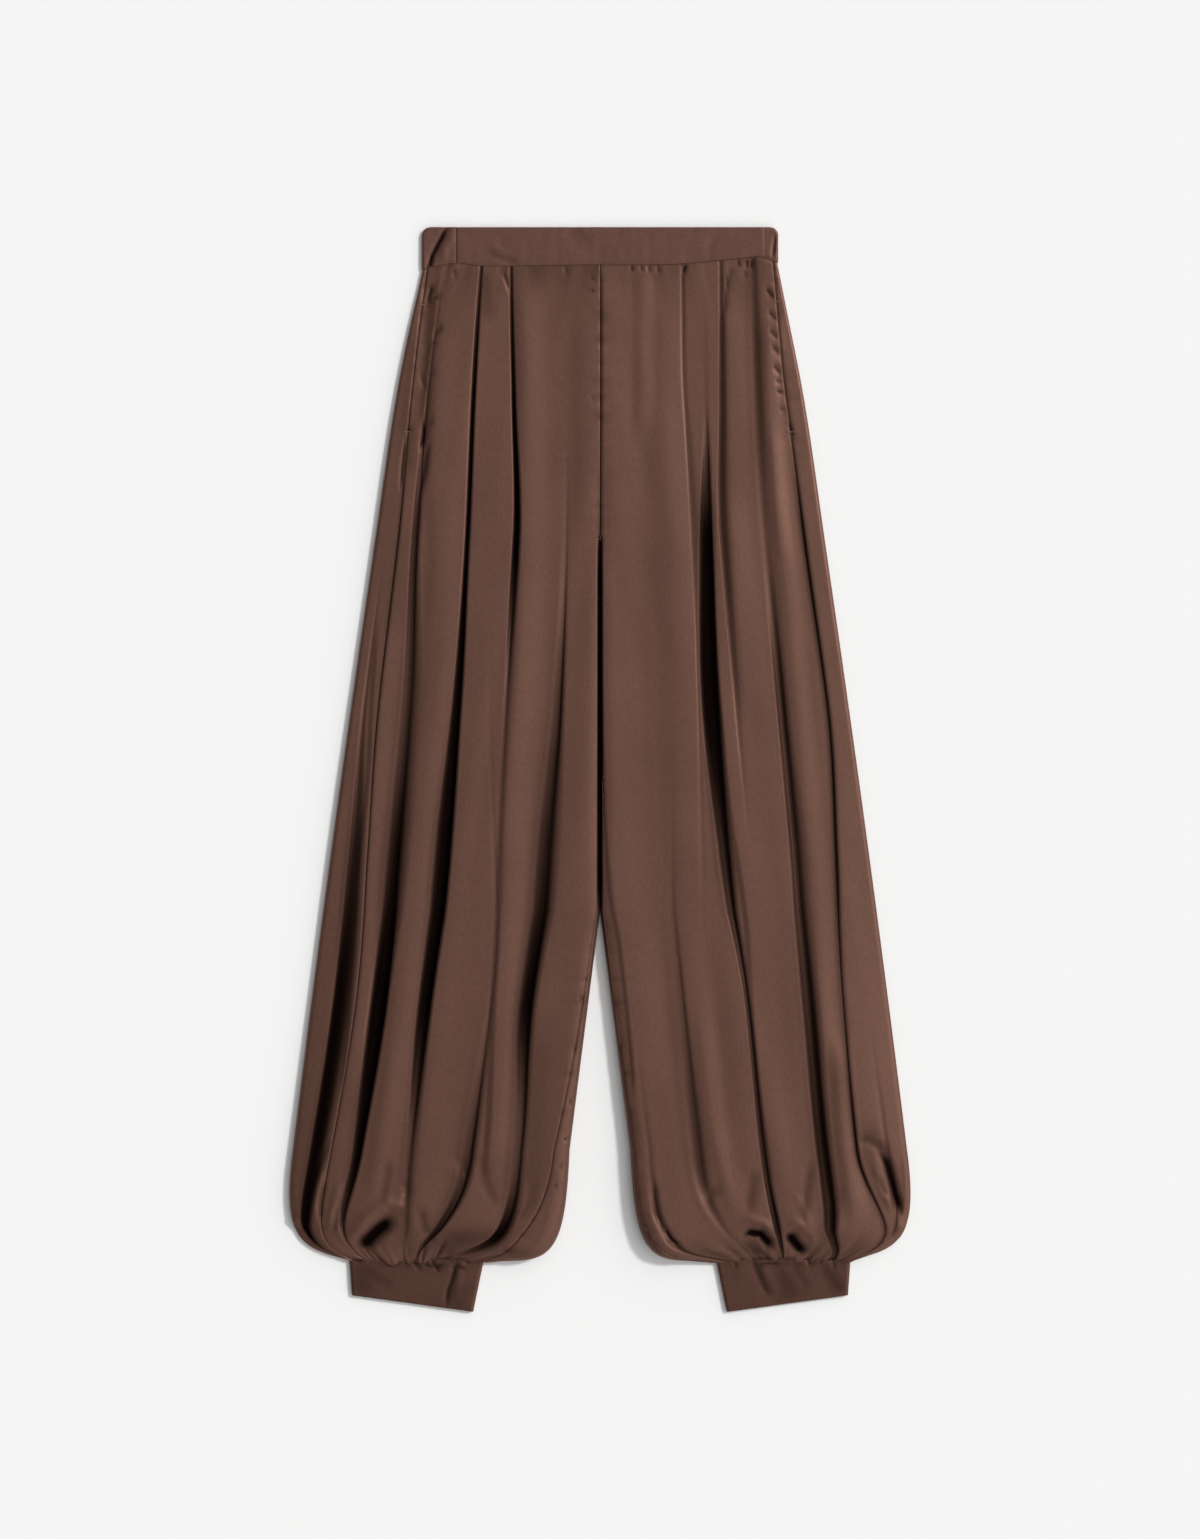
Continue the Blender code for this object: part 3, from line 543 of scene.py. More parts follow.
def fold_form(fold, across, run):
    """How far one fold lowers the cloth, how far it moves it inwards, and how much shade is painted there.
    """
    depth, half, lip, soft, tuck = fold_sizes(fold, run)
    towards = 1.0 if fold.lip == "outer" else -1.0
    off = across - fold_across(fold, run)
    on_lip = off * towards < 0.0
    beyond = np.maximum(np.abs(off) - half, 0.0)
    edge = 1.0 - smooth_step(beyond / np.where(on_lip, lip, soft))
    shoulder = (1.0 - np.clip(beyond / SHOULDER, 0.0, 1.0)) ** 2
    lowered = depth * ((1.0 - SHOULDER_SHARE) * edge + SHOULDER_SHARE * shoulder)
    q = beyond / lip
    over = smooth_step(q / NOSE) * (1.0 - smooth_step((q - NOSE) / (LIP_FADE - NOSE)))
    moved = towards * tuck * np.where(on_lip, over, 0.0)
    rise = np.where(off < 0.0, at_level(fold.outer, run), at_level(fold.inner, run))
    shade = 1.0 - smooth_step(beyond / np.maximum(rise, LEAST_SHADE))
    # Painted shade: full in the hollow, fading over the rise on either side.
    return lowered, moved, np.clip(at_level(fold.dark, run), 0.0, 1.0) * shade


print(f"the lip of a pressed pleat 10 mm deep hangs over by {TUCK_PER_DEPTH * 10:.0f} mm")

# %% [markdown]
# Cloth is never quite even. Slow hills a few centimetres wide come from how it was put down, and short ones
# beside the seams from the thread pulling it together. Both come from the function "hills", each with its
# own seed. Away from the seams the left leg reads it at another place, so that the two legs differ.

# %% Uneven cloth
SLOW_HILLS = (Hills(0.5, 30.0, 190.0, 11), Hills(0.2, 14.0, 110.0, 12))
SLOW_FADE = 60.0
WAIST_PUCKERS = Hills(0.4, 6.5, 60.0, 13)
WAIST_PUCKERS_REACH = 22.0
CUFF_GATHERS = Hills(0.7, 12.0, 70.0, 14)
FINE_CUFF_GATHERS = Hills(0.6, 5.0, 30.0, 15)
CUFF_GATHERS_FROM = 950.0
CUFF_GATHERS_BLEND = 55.0
SEAM_WAVES = (Hills(1.0, 30.0, 7.0, 0), Hills(0.6, 14.0, 3.6, 1))
SEAM_WAVES_FROM = 8.0
SEAM_PULL = 9.0
Stretch = namedtuple("Stretch", "run pull")
SIDE_PUCKER = (
    Stretch(36, 0.25), Stretch(70, 0.4), Stretch(200, 0.4), Stretch(240, 0.15), Stretch(1010, 0.12),
)
INSEAM_PUCKER = (
    Stretch(290, 0.08), Stretch(640, 0.1), Stretch(730, 0.28), Stretch(960, 0.4), Stretch(1010, 0.2),
)
CENTRE_PUCKER = (
    Stretch(36, 0.3), Stretch(120, 0.4), Stretch(290, 0.15), Stretch(310, 0.0), Stretch(1010, 0.0),
)
# Shade painted into the troughs of the puckers, per millimetre of depth, and the most of it.
PUCKER_SHADE = 0.9
DARKEST_PUCKER_SHADE = 0.6


def pull(stretches, run):
    return curve_through([row.run for row in stretches], [row.pull for row in stretches], run)


def seam_across(side, run):
    return at_level(SIDE_SEAM[side], run) / 100.0 * leg_width(run)


def inset_of_inseam(side, run):
    return at_level(INSEAM_IN[side], run) * smooth_step((opened(run) - 0.25) / 0.7)


def inseam_across(side, run):
    return leg_width(run) - inset_of_inseam(side, run)


def beside_seam(distance, run, stretches, seed):
    """Short creases square to a seam, dying away beside it."""
    waves = sum(rough(kind, distance, run, SEAM_WAVES_FROM, seed) for kind in SEAM_WAVES)
    return pull(stretches, run) * waves * np.exp(-np.abs(distance) / SEAM_PULL)


def unevenness(side, across, run):
    """The slow rises and falls of the cloth on one leg, in millimetres."""
    slow = sum(rough(kind, across, run, OTHER_HILLS[side]) for kind in SLOW_HILLS)
    return slow * np.clip((run - BAND_DEPTH) / SLOW_FADE, 0.0, 1.0)


def puckers(side, across, run):
    """The short creases that thread makes: at the waist, above the cuff and beside the seams."""
    offset = OTHER_HILLS[side]
    near_waist = np.exp(-(run - BAND_DEPTH) / WAIST_PUCKERS_REACH)
    near_cuff = smooth_step((run - CUFF_GATHERS_FROM) / CUFF_GATHERS_BLEND)
    total = near_waist * rough(WAIST_PUCKERS, across, run, offset)
    total = total + near_cuff * rough(CUFF_GATHERS, across, run, offset)
    total = total + near_cuff**3 * rough(FINE_CUFF_GATHERS, across, run, offset)
    total = total + beside_seam(across - seam_across(side, run), run, SIDE_PUCKER, 21)
    total = total + beside_seam(across - inseam_across(side, run), run, INSEAM_PUCKER, 31)
    return total + beside_seam(across - leg_width(run), run, CENTRE_PUCKER, 41)


print("hills reach", round(float(np.abs(hills(np.arange(400) / 7.0, np.arange(400) / 9.0, 11)).max()), 2))

# %% [markdown]
# Some creases are too much part of this very garment to leave to chance: the drag lines below the pockets,
# the puckers of the pocket mouths, the short pulls under the waistband and the gathers of the balloons.
# Each is listed where it lies, in millimetres from the centre line and down from the top, and is pressed
# into the cloth as a soft trough that tapers at both ends. A depth below zero is a ridge, and the third
# number says how much shade is painted into the trough, as little light gets there. A row with hardly any
# depth only paints shade on a part turned from the light.

# %% Creases placed one by one
Crease = namedtuple("Crease", "name depth half dark path")
CREASES = (
    Crease("pocket pucker", 1.1, 2.2, 0.7, ((-163, 54), (-169, 78))),
    Crease("pocket pucker", 1.0, 2.2, 0.5, ((-154, 64), (-173, 80))),
    Crease("pocket pucker", 1.0, 2.6, 0.45, ((-153, 94), (-164, 110))),
    Crease("pocket pucker", 1.0, 2.6, 0.4, ((-158, 110), (-174, 122))),
    Crease("pocket pucker", 1.0, 2.2, 0.5, ((-175, 140), (-170, 162))),
    Crease("pocket pucker", 0.8, 2.4, 0.3, ((-160, 140), (-171, 150))),
    Crease("pocket drag", 1.6, 2.4, 0.75, ((-171, 184), (-172, 204), (-175, 222))),
    Crease("pocket drag", 1.2, 2.4, 0.35, ((-162, 186), (-170, 198))),
    Crease("pocket drag", 1.2, 2.6, 0.6, ((-166, 204), (-171, 240), (-178, 270))),
    Crease("tack crease", 1.0, 1.6, 0.7, ((-181, 200), (-190, 198))),
    Crease("strip drag", 1.0, 1.8, 0.6, ((-189, 200), (-193, 236), (-195, 262))),
    Crease("pleat tuck", 0.8, 2.0, 0.3, ((-96, 42), (-91, 54), (-87, 66))),
    Crease("waist pull", 0.6, 2.0, 0.2, ((-143, 40), (-141, 52))),
    Crease("waist pull", 0.5, 2.0, 0.2, ((-34, 36), (-33, 48))),
    Crease("waist pull", 0.5, 2.0, 0.15, ((-17, 36), (-18, 46))),
    Crease("centre pucker", 0.6, 1.5, 0.45, ((-10, 50), (-5, 50))),
    Crease("centre pucker", 0.6, 1.5, 0.45, ((-10, 62), (-5, 62))),
    Crease("centre pucker", 0.6, 1.5, 0.45, ((-10, 81), (-5, 81))),
    Crease("centre pucker", 0.5, 1.5, 0.4, ((-9, 149), (-5, 149))),
    Crease("centre pucker", 0.5, 1.5, 0.35, ((-9, 168), (-5, 168))),
    Crease("waist pull", 0.8, 1.8, 0.5, ((31, 36), (31, 44))),
    Crease("waist pull", 0.7, 1.8, 0.4, ((40, 36), (41, 44))),
    Crease("waist pull", 0.7, 1.8, 0.4, ((47, 36), (48, 45))),
    Crease("waist pull", 0.6, 1.8, 0.3, ((56, 36), (57, 46))),
    Crease("waist tuck", 1.2, 1.5, 0.8, ((84, 35), (81, 47))),
    Crease("waist pull", 0.8, 1.8, 0.5, ((129, 34), (126, 48), (123, 66), (121, 90))),
    Crease("waist pull", 0.9, 1.8, 0.6, ((136, 30), (135, 40))),
    Crease("waist pull", 1.0, 1.8, 0.7, ((143, 30), (144, 42))),
    Crease("waist pull", 1.0, 1.8, 0.7, ((149, 30), (147, 42))),
    Crease("waist pull", 0.7, 1.5, 0.4, ((143, 42), (140, 52))),
    Crease("pocket pucker", 1.1, 2.2, 0.65, ((161, 58), (171, 71))),
    Crease("pocket pucker", 1.0, 2.2, 0.55, ((163, 81), (174, 92))),
    Crease("pocket pucker", 1.0, 2.2, 0.55, ((164, 99), (175, 110))),
    Crease("pocket pucker", 1.0, 2.2, 0.5, ((166, 115), (177, 125))),
    Crease("pocket pucker", 1.0, 2.2, 0.55, ((168, 134), (179, 146))),
    Crease("pocket pucker", 0.9, 2.0, 0.5, ((170, 148), (180, 154))),
    Crease("pocket pucker", 0.8, 1.8, 0.6, ((172, 160), (180, 162))),
    Crease("pocket pucker", 0.6, 1.8, 0.35, ((174, 176), (182, 180))),
    Crease("tack crease", 0.9, 1.8, 0.6, ((184, 190), (189, 206))),
    Crease("cuff hole", 7.0, 7.0, 1.0, ((-237, 1001), (-229, 991), (-218, 979), (-207, 970), (-197, 965))),
    Crease("cuff hole lip", -1.6, 6.0, 0.0, (
        (-250, 998), (-240, 981), (-224, 962), (-207, 951), (-191, 955), (-185, 972),
    )),
    Crease("tube crease", 1.2, 3.0, 0.3, ((-262, 984), (-257, 966), (-252, 950))),
    Crease("pocket shade", 0.5, 6.5, 0.36, (
        (-158, 34), (-164, 60), (-166, 100), (-169, 149), (-172, 208), (-176, 250),
    )),
    Crease("strip shade", 0.2, 9.0, 0.22, ((-178, 80), (-184, 150), (-188, 215), (-192, 270))),
    Crease("waist shade", 0.3, 8.0, 0.2, ((-116, 34), (-112, 60), (-110, 100))),
    Crease("centre shade", 0.3, 9.0, 0.13, ((-22, 36), (-24, 150), (-25, 260), (-34, 340))),
    Crease("dimple", 1.4, 4.0, 0.35, ((-138, 905), (-135, 914), (-131, 926))),
    Crease("dimple", 1.0, 4.5, 0.2, ((-190, 928), (-186, 946))),
    Crease("underside shade", 0.5, 10.0, 0.26, ((-168, 990), (-132, 984), (-100, 982), (-66, 972))),
    Crease("outer shade", 0.0, 7.0, 0.35, ((298, 900), (301, 925), (303, 945), (300, 968))),
    Crease("outer shade", 0.0, 13.0, 0.26, ((256, 860), (266, 905), (280, 945), (286, 975))),
    Crease("inner shade", 0.0, 22.0, 0.2, ((-62, 740), (-60, 880), (-62, 930), (-72, 970), (-100, 988))),
    Crease("balloon crease", 1.6, 2.6, 0.55, ((-281, 935), (-270, 905), (-262, 890))),
    Crease("balloon ridge", -1.4, 2.6, 0.0, ((-268, 912), (-276, 940), (-280, 968))),
    Crease("balloon crease", 1.4, 2.4, 0.4, ((-267, 925), (-272, 950), (-273, 975))),
    Crease("balloon crease", 1.2, 2.4, 0.3, ((-240, 915), (-249, 950), (-251, 985))),
    Crease("balloon ridge", -1.2, 3.0, 0.0, ((-252, 925), (-261, 960), (-263, 985))),
    Crease("pinch", 2.6, 5.0, 0.85, (
        (262, 894), (272, 900), (279, 912), (283, 926), (288, 944), (293, 960), (297, 976),
    )),
    Crease("pinch shade", 0.8, 6.5, 0.4, ((246, 894), (260, 889), (273, 896), (281, 910))),
    Crease("facet ridge", -0.7, 3.5, 0.0, ((264, 908), (274, 935), (286, 965))),
    Crease("facet crease", 0.8, 2.6, 0.35, ((270, 925), (280, 948))),
    Crease("cuff crescent", 4.5, 4.4, 1.0, ((136, 985), (146, 980), (156, 981), (163, 989), (167, 1000))),
    Crease("crescent lip", -1.1, 4.0, 0.0, ((130, 970), (146, 966), (160, 970), (170, 984), (173, 1000))),
    Crease("cuff hole", 6.0, 5.0, 1.0, ((181, 977), (187, 987), (194, 996), (202, 1002))),
    Crease("cuff hole lip", -1.1, 4.2, 0.0, ((179, 969), (193, 970), (205, 982), (212, 998))),
    Crease("balloon crease", 1.6, 2.6, 0.5, ((52, 925), (53, 945), (55, 962), (62, 978))),
    Crease("balloon crease", 1.6, 2.2, 0.7, ((62, 972), (68, 985), (80, 994))),
    Crease("balloon ridge", -0.6, 4.0, 0.0, ((190, 940), (200, 962), (208, 985))),
    Crease("balloon drag", 1.0, 5.0, 0.25, ((206, 905), (200, 940), (196, 972))),
    Crease("balloon drag", 0.9, 5.0, 0.22, ((232, 930), (226, 960), (218, 985))),
    Crease("balloon drag", 1.0, 6.0, 0.24, ((150, 915), (147, 940), (142, 964))),
    Crease("balloon drag", 0.8, 5.0, 0.2, ((-205, 905), (-210, 935), (-214, 955))),
    Crease("balloon drag", 0.8, 6.0, 0.2, ((-118, 900), (-112, 930), (-100, 958))),
    Crease("balloon drag", 0.8, 5.0, 0.2, ((-64, 925), (-70, 950), (-84, 975))),
    Crease("balloon drag", 0.9, 4.0, 0.3, ((-176, 950), (-170, 975), (-158, 995))),
    Crease("balloon shade", 1.4, 6.0, 0.2, ((105, 935), (112, 946))),
    Crease("inseam pucker", 0.8, 1.8, 0.5, ((-20, 750), (-15, 752))),
    Crease("inseam pucker", 0.8, 1.8, 0.5, ((-31, 850), (-26, 853))),
    Crease("inseam pucker", 0.7, 1.8, 0.4, ((-27, 800), (-22, 802))),
    Crease("inseam pucker", 0.8, 1.8, 0.5, ((-36, 888), (-30, 891))),
    Crease("inseam pucker", 0.7, 1.8, 0.4, ((-41, 912), (-36, 915))),
    Crease("inseam pucker", 0.7, 1.8, 0.4, ((-46, 932), (-41, 935))),
)
CREASE_TAPER = 0.3
CREASE_DARKENS = 1.3


def pressed_in(creases, x, run):
    """How far the creases lower the cloth at points x across and run down, and the shade painted there."""
    total = np.zeros(np.broadcast(x, run).shape)
    dark = np.zeros(total.shape)
    for crease in creases:
        path = np.array(crease.path, float)
        reach = 2.0 * crease.half
        low, high = path.min(axis=0) - reach, path.max(axis=0) + reach
        inside = (x > low[0]) & (x < high[0]) & (run > low[1]) & (run < high[1])
        if not inside.any():
            continue
        px, py = x[inside], run[inside]
        lengths = np.hypot(*np.diff(path, axis=0).T)
        starts = np.concatenate(([0.0], np.cumsum(lengths)))
        best = np.full(px.shape, 1e9)
        along = np.zeros(px.shape)
        for k, length in enumerate(lengths):
            step = (path[k + 1] - path[k]) / length
            s = np.clip((px - path[k][0]) * step[0] + (py - path[k][1]) * step[1], 0.0, length)
            away = np.hypot(px - path[k][0] - s * step[0], py - path[k][1] - s * step[1])
            along = np.where(away < best, (starts[k] + s) / starts[-1], along)
            best = np.minimum(best, away)
        ends = smooth_step(along / CREASE_TAPER) * smooth_step((1.0 - along) / CREASE_TAPER)
        strength = np.maximum(ends, 0.0) * np.exp(-((best / crease.half) ** 2))
        total[inside] += crease.depth * strength
        # Painted shade along the trough, strongest on its middle line.
        dark[inside] = np.maximum(dark[inside], np.minimum(CREASE_DARKENS * crease.dark * strength, 1.0))
    return total, dark


print(len(CREASES), "creases placed by hand")

# %% [markdown]
# Between its folds each panel swells like a shallow wave: a crest runs down beside the fold, steep on one
# side and long on the other, and the long side catches the lamp. A swell is listed by its crest's path, its
# height and how far it reaches to either side, towards -X and towards +X. One below zero is a wide shallow
# trough.

# %% Swells between the folds
Swell = namedtuple("Swell", "name height minus plus path")
SWELLS = (
    Swell("pocket hollow", -0.8, 6.0, 22.0, ((-169, 45), (-175, 120), (-181, 180), (-184, 215))),
    Swell("crest beside the first pleat", 0.9, 14.0, 26.0, (
        (-160, 100), (-163, 237), (-158, 305), (-163, 403), (-176, 539),
        (-191, 685), (-203, 812), (-215, 900), (-224, 960),
    )),
    Swell("crest beside the second pleat", 2.2, 8.0, 30.0, (
        (-80, 60), (-77, 169), (-77, 305), (-81, 403), (-90, 539),
        (-96, 685), (-100, 754), (-104, 861), (-109, 935),
    )),
    Swell("crest beside the pocket fold", 1.5, 5.0, 24.0, (
        (-216, 400), (-220, 461), (-224, 539), (-232, 617),
        (-236, 685), (-241, 754), (-246, 812), (-252, 861),
    )),
    Swell("crest beside the centre seam", 0.25, 28.0, 11.0, (
        (-9, 50), (-9, 305), (-10, 403), (-13, 539), (-20, 685), (-27, 760),
    )),
    Swell("left of the centre seam", 1.6, 3.0, 42.0, (
        (3, 50), (3, 305), (3, 403), (5, 539), (10, 640), (20, 700), (30, 790), (36, 860),
    )),
    Swell("waist wave", 0.8, 12.0, 14.0, ((41, 40), (42, 120), (40, 220))),
    Swell("crest beside the first pleat", 0.8, 22.0, 24.0, (
        (64, 90), (66, 237), (70, 305), (73, 403), (78, 539), (86, 685),
        (90, 754), (95, 812), (100, 861), (107, 910), (116, 950),
    )),
    Swell("crest of the pleat edge", 1.2, 8.0, 34.0, (
        (123, 80), (124, 237), (127, 305), (135, 403), (142, 490),
    )),
    Swell("crest beside the second pleat", 1.5, 7.0, 34.0, (
        (113, 270), (115, 403), (125, 539), (146, 685), (150, 754),
        (154, 812), (160, 861), (167, 905), (174, 950),
    )),
    Swell("pocket shoulder", 1.5, 16.0, 18.0, (
        (164, 90), (165, 200), (168, 237), (176, 305), (186, 403),
        (198, 539), (212, 685), (216, 754), (224, 840),
    )),
    Swell("pocket highlight", 0.8, 8.0, 14.0, ((168, 200), (172, 270), (178, 340))),
    Swell("outer balloon swell", 1.6, 12.0, 18.0, ((232, 800), (236, 880), (244, 940), (252, 985))),
    Swell("crest beside the inner leg fold", 1.0, 6.0, 20.0, (
        (96, 780), (99, 809), (106, 866), (120, 929), (132, 975),
    )),
)
SWELL_FADE = 45.0


def swelled(x, run):
    """How far the swells raise the cloth at points x across and run down."""
    total = np.zeros(np.broadcast(x, run).shape)
    for swell in SWELLS:
        path = np.array(swell.path, float)
        crest = curve_through(path[:, 1], path[:, 0], run)
        off = x - crest
        reach = np.where(off < 0.0, swell.minus, swell.plus)
        begins = smooth_step((run - path[0, 1] + SWELL_FADE / 2) / SWELL_FADE)
        ends = begins * smooth_step((path[-1, 1] - run) / SWELL_FADE)
        total = total + swell.height * ends * (1.0 - smooth_step(np.abs(off) / reach))
    return total


print(len(SWELLS), "swells, the highest", max(swell.height for swell in SWELLS), "mm")

# %% [markdown]
# ## The surface of a leg
# Everything now comes together in one function. It gives the upper surface of a leg at any place, folded
# and creased, and it serves the front panel and the strip of the back panel that comes round onto the
# front, so the two meet without a step.

# %% The upper surface
SEAM_GROOVE = 0.5
SEAM_GROOVE_HALF = 1.2
SEAM_SHADE_HALF = {"right": 2.0, "left": 3.4}
OUTER_RISE = 92.0
INNER_RISE = 12.0
INNER_DROP = 0.35
CROWN_SHARE = 0.9
INNER_ROLL_REACH = 0.25
MOUTH_FROM = 74.0
MOUTH_TO = 200.0
MOUTH_LIFT = 0.2
MOUTH_FADE = 12.0
FRONT_MOUTH_REACH = 4.0
BACK_MOUTH_REACH = 3.0
INSEAM_HIDDEN = 3.0
UNDER_BAND_FROM = -1.0
UNDER_BAND_BLEND = 3.5
UNDER_CUFF_BLEND = 5.0
BAND_SINK = 1.3
CUFF_SINK = 1.6
OVERHANG_KEEPS = 0.7
LOWEST_TOP = 1.6
# Painted shade below the waistband, and in a line along the band's edge and above the cuff's seam.
WAIST_SHADE = {"right": 0.24, "left": 0.12}
WAIST_SHADE_REACH = 26.0
WAIST_SHADE_HILLS = Hills(0.5, 17.0, 40.0, 17)
SHADE_UNDER_BAND_AND_CUFF = 0.6
SHADE_UNDER_CUFF_BREAKS = Hills(0.7, 9.0, 1.0, 16)


def crown_height(across, run):
    """The height of the leg without its folds: highest inside, falling towards both edges."""
    outer_roll = level_value("outer_roll", run)
    inner_roll = level_value("inner_roll", run)
    crown = outer_roll + CROWN_SHARE * (level_value("crown", run) - outer_roll)
    inner_drop = INNER_DROP * (crown - inner_roll) * (0.1 + 0.9 * opened(run + 60.0))
    from_outer = np.clip((across - outer_roll / 2.0) / OUTER_RISE, 0.0, 1.0)
    from_inner = np.clip((leg_width(run) - across - INNER_ROLL_REACH * inner_roll) / INNER_RISE, 0.0, 1.0)
    return crown - (crown - outer_roll) * (1.0 - from_outer) ** 2 - inner_drop * (1.0 - from_inner) ** 2


# Painted shade on the inner edge of each leg, in the gap between the legs, at levels down the leg.
CentreShade = namedtuple("CentreShade", "run dark")
CENTRE_SHADE = (
    CentreShade(36, 0.15), CentreShade(60, 0.05), CentreShade(200, 0.12), CentreShade(250, 0.4),
    CentreShade(305, 0.8), CentreShade(350, 1.0), CentreShade(640, 1.0), CentreShade(690, 0.3),
    CentreShade(800, 0.1), CentreShade(1010, 0.1),
)
CENTRE_SHADE_WIDTH = {"right": 3.2, "left": 1.0}


def centre_dark(side, across, run):
    """How much shade is painted on the inner edge: it is the bottom of the gap between the legs."""
    depth = curve_through([row.run for row in CENTRE_SHADE], [row.dark for row in CENTRE_SHADE], run)
    width = CENTRE_SHADE_WIDTH[side] * np.clip(run / 400.0, 0.45, 1.0)
    return depth * (1.0 - smooth_step((leg_width(run) - across) / width))


def leg_surface(side, across, run):
    """The upper surface: across with the folds' lips moved over, height, and the shade painted on it."""
    out, down = in_plan(side, across, run)
    x = SIGN[side] * out
    height = crown_height(across, run) + swelled(x, down) + unevenness(side, across, run)
    lowered = np.zeros(across.shape)
    moved = np.zeros(across.shape)
    dark = np.zeros(across.shape)
    for fold in (STRIP_FOLD[side],) + FRONT_FOLDS[side]:
        deeper, over, shade = fold_form(fold, across, run)
        lowered = np.maximum(lowered, deeper)
        moved = moved + over
        dark = np.maximum(dark, shade)
    creased, crease_dark = pressed_in(CREASES, x, down)
    room = np.maximum(height - level_value("lowest", run), 0.01)
    height = height - room * np.tanh((lowered + np.maximum(creased, 0.0)) / room) - np.minimum(creased, 0.0)
    pucker = puckers(side, across, run)
    height = height + pucker
    # Painted shade: the folds' hollows, the creases and the troughs of the puckers, then the groove of the
    # side seam and the bottom of the gap between the legs.
    dark = np.maximum(dark, crease_dark)
    dark = np.maximum(dark, np.clip(-PUCKER_SHADE * pucker, 0.0, DARKEST_PUCKER_SHADE))
    side_distance = np.abs(across - seam_across(side, run))
    inseam_distance = np.abs(across - inseam_across(side, run))
    height = height - SEAM_GROOVE * np.exp(-((side_distance / SEAM_GROOVE_HALF) ** 2))
    in_sight = smooth_step((inset_of_inseam(side, run) - INSEAM_HIDDEN) / INSEAM_HIDDEN)
    height = height - SEAM_GROOVE * in_sight * np.exp(-((inseam_distance / SEAM_GROOVE_HALF) ** 2))
    beside_seam_line = np.exp(-((side_distance / SEAM_SHADE_HALF[side]) ** 2))
    seam_shade = at_level(SIDE_SEAM_SHADE[side], run) * beside_seam_line
    dark = np.maximum(dark, np.clip(seam_shade, 0.0, 1.0))
    dark = np.maximum(dark, centre_dark(side, across, run))
    under_band = 1.0 - smooth_step((run - BAND_DEPTH - UNDER_BAND_FROM) / UNDER_BAND_BLEND)
    under_cuff = smooth_step((run - CUFF_RUN + UNDER_CUFF_BLEND) / UNDER_CUFF_BLEND)
    sink = CUFF_SINK - OVERHANG_KEEPS * overhang(side, across)
    height = height - BAND_SINK * under_band - sink * under_cuff
    broken = np.clip(0.7 + rough(SHADE_UNDER_CUFF_BREAKS, across, ONE_ROW), 0.15, 1.0)
    # Painted shade in a line under the waistband's edge and, broken up, under the cloth hanging over the
    # cuff.
    dark = np.maximum(dark, SHADE_UNDER_BAND_AND_CUFF * np.maximum(under_band, under_cuff * broken))
    # Painted shade below the waistband, fading down the leg.
    waist_shade = WAIST_SHADE[side] * np.exp(-np.maximum(run - BAND_DEPTH, 0.0) / WAIST_SHADE_REACH)
    waist_shade = waist_shade * (0.8 + rough(WAIST_SHADE_HILLS, across, run))
    dark = np.clip(dark + waist_shade * (1.0 - dark), 0.0, 1.0)
    return across + moved, np.maximum(height, LOWEST_TOP), dark


def beside_mouth(distance, run, reach):
    """1 at the edge of the pocket mouth, dying away beside it and towards its two bar tacks."""
    ends = smooth_step((run - MOUTH_FROM) / MOUTH_FADE) * smooth_step((MOUTH_TO - run) / MOUTH_FADE)
    return ends * np.exp(-((distance / reach) ** 2))


print("crown of the leg at the knee:", round(float(crown_height(130.0, 617.0)), 1), "mm")

# %% [markdown]
# The mesh is a grid. Its rows are levels of the leg, closer together where the cloth is busy. Its columns
# follow the folds, and crowd together at each lip, so that the small round nose of a pleat gets enough of
# them.

# %% Rows and columns that follow the cloth
RowStretch = namedtuple("RowStretch", "start spacing")
ROW_STRETCHES = (
    RowStretch(34.5, 1.9),
    RowStretch(62.0, 3.4),
    RowStretch(290.0, 8.5),
    RowStretch(660.0, 4.6),
    RowStretch(880.0, 1.7),
)
LAST_ROW = 1011.5
LIP_COLUMNS = (0.18, 0.36, 0.54, 0.74, 1.05, 1.8)
SOFT_COLUMNS = (0.18, 0.38, 0.6, 0.84, 1.15)
SEAM_COLUMNS_WIDTH = 8.0
CORE_LIMIT = 0.2
REACH_LIMIT = 0.42
PLAIN_SPACING = 2.5
PLAIN_AT = 985.0


def row_runs():
    ends = [row.start for row in ROW_STRETCHES[1:]] + [LAST_ROW]
    runs = []
    for stretch, end in zip(ROW_STRETCHES, ends):
        count = round((end - stretch.start) / stretch.spacing)
        runs.extend(stretch.start + (end - stretch.start) * k / count for k in range(count))
    return np.array(runs + [LAST_ROW])[:, None]


ROWS = row_runs()


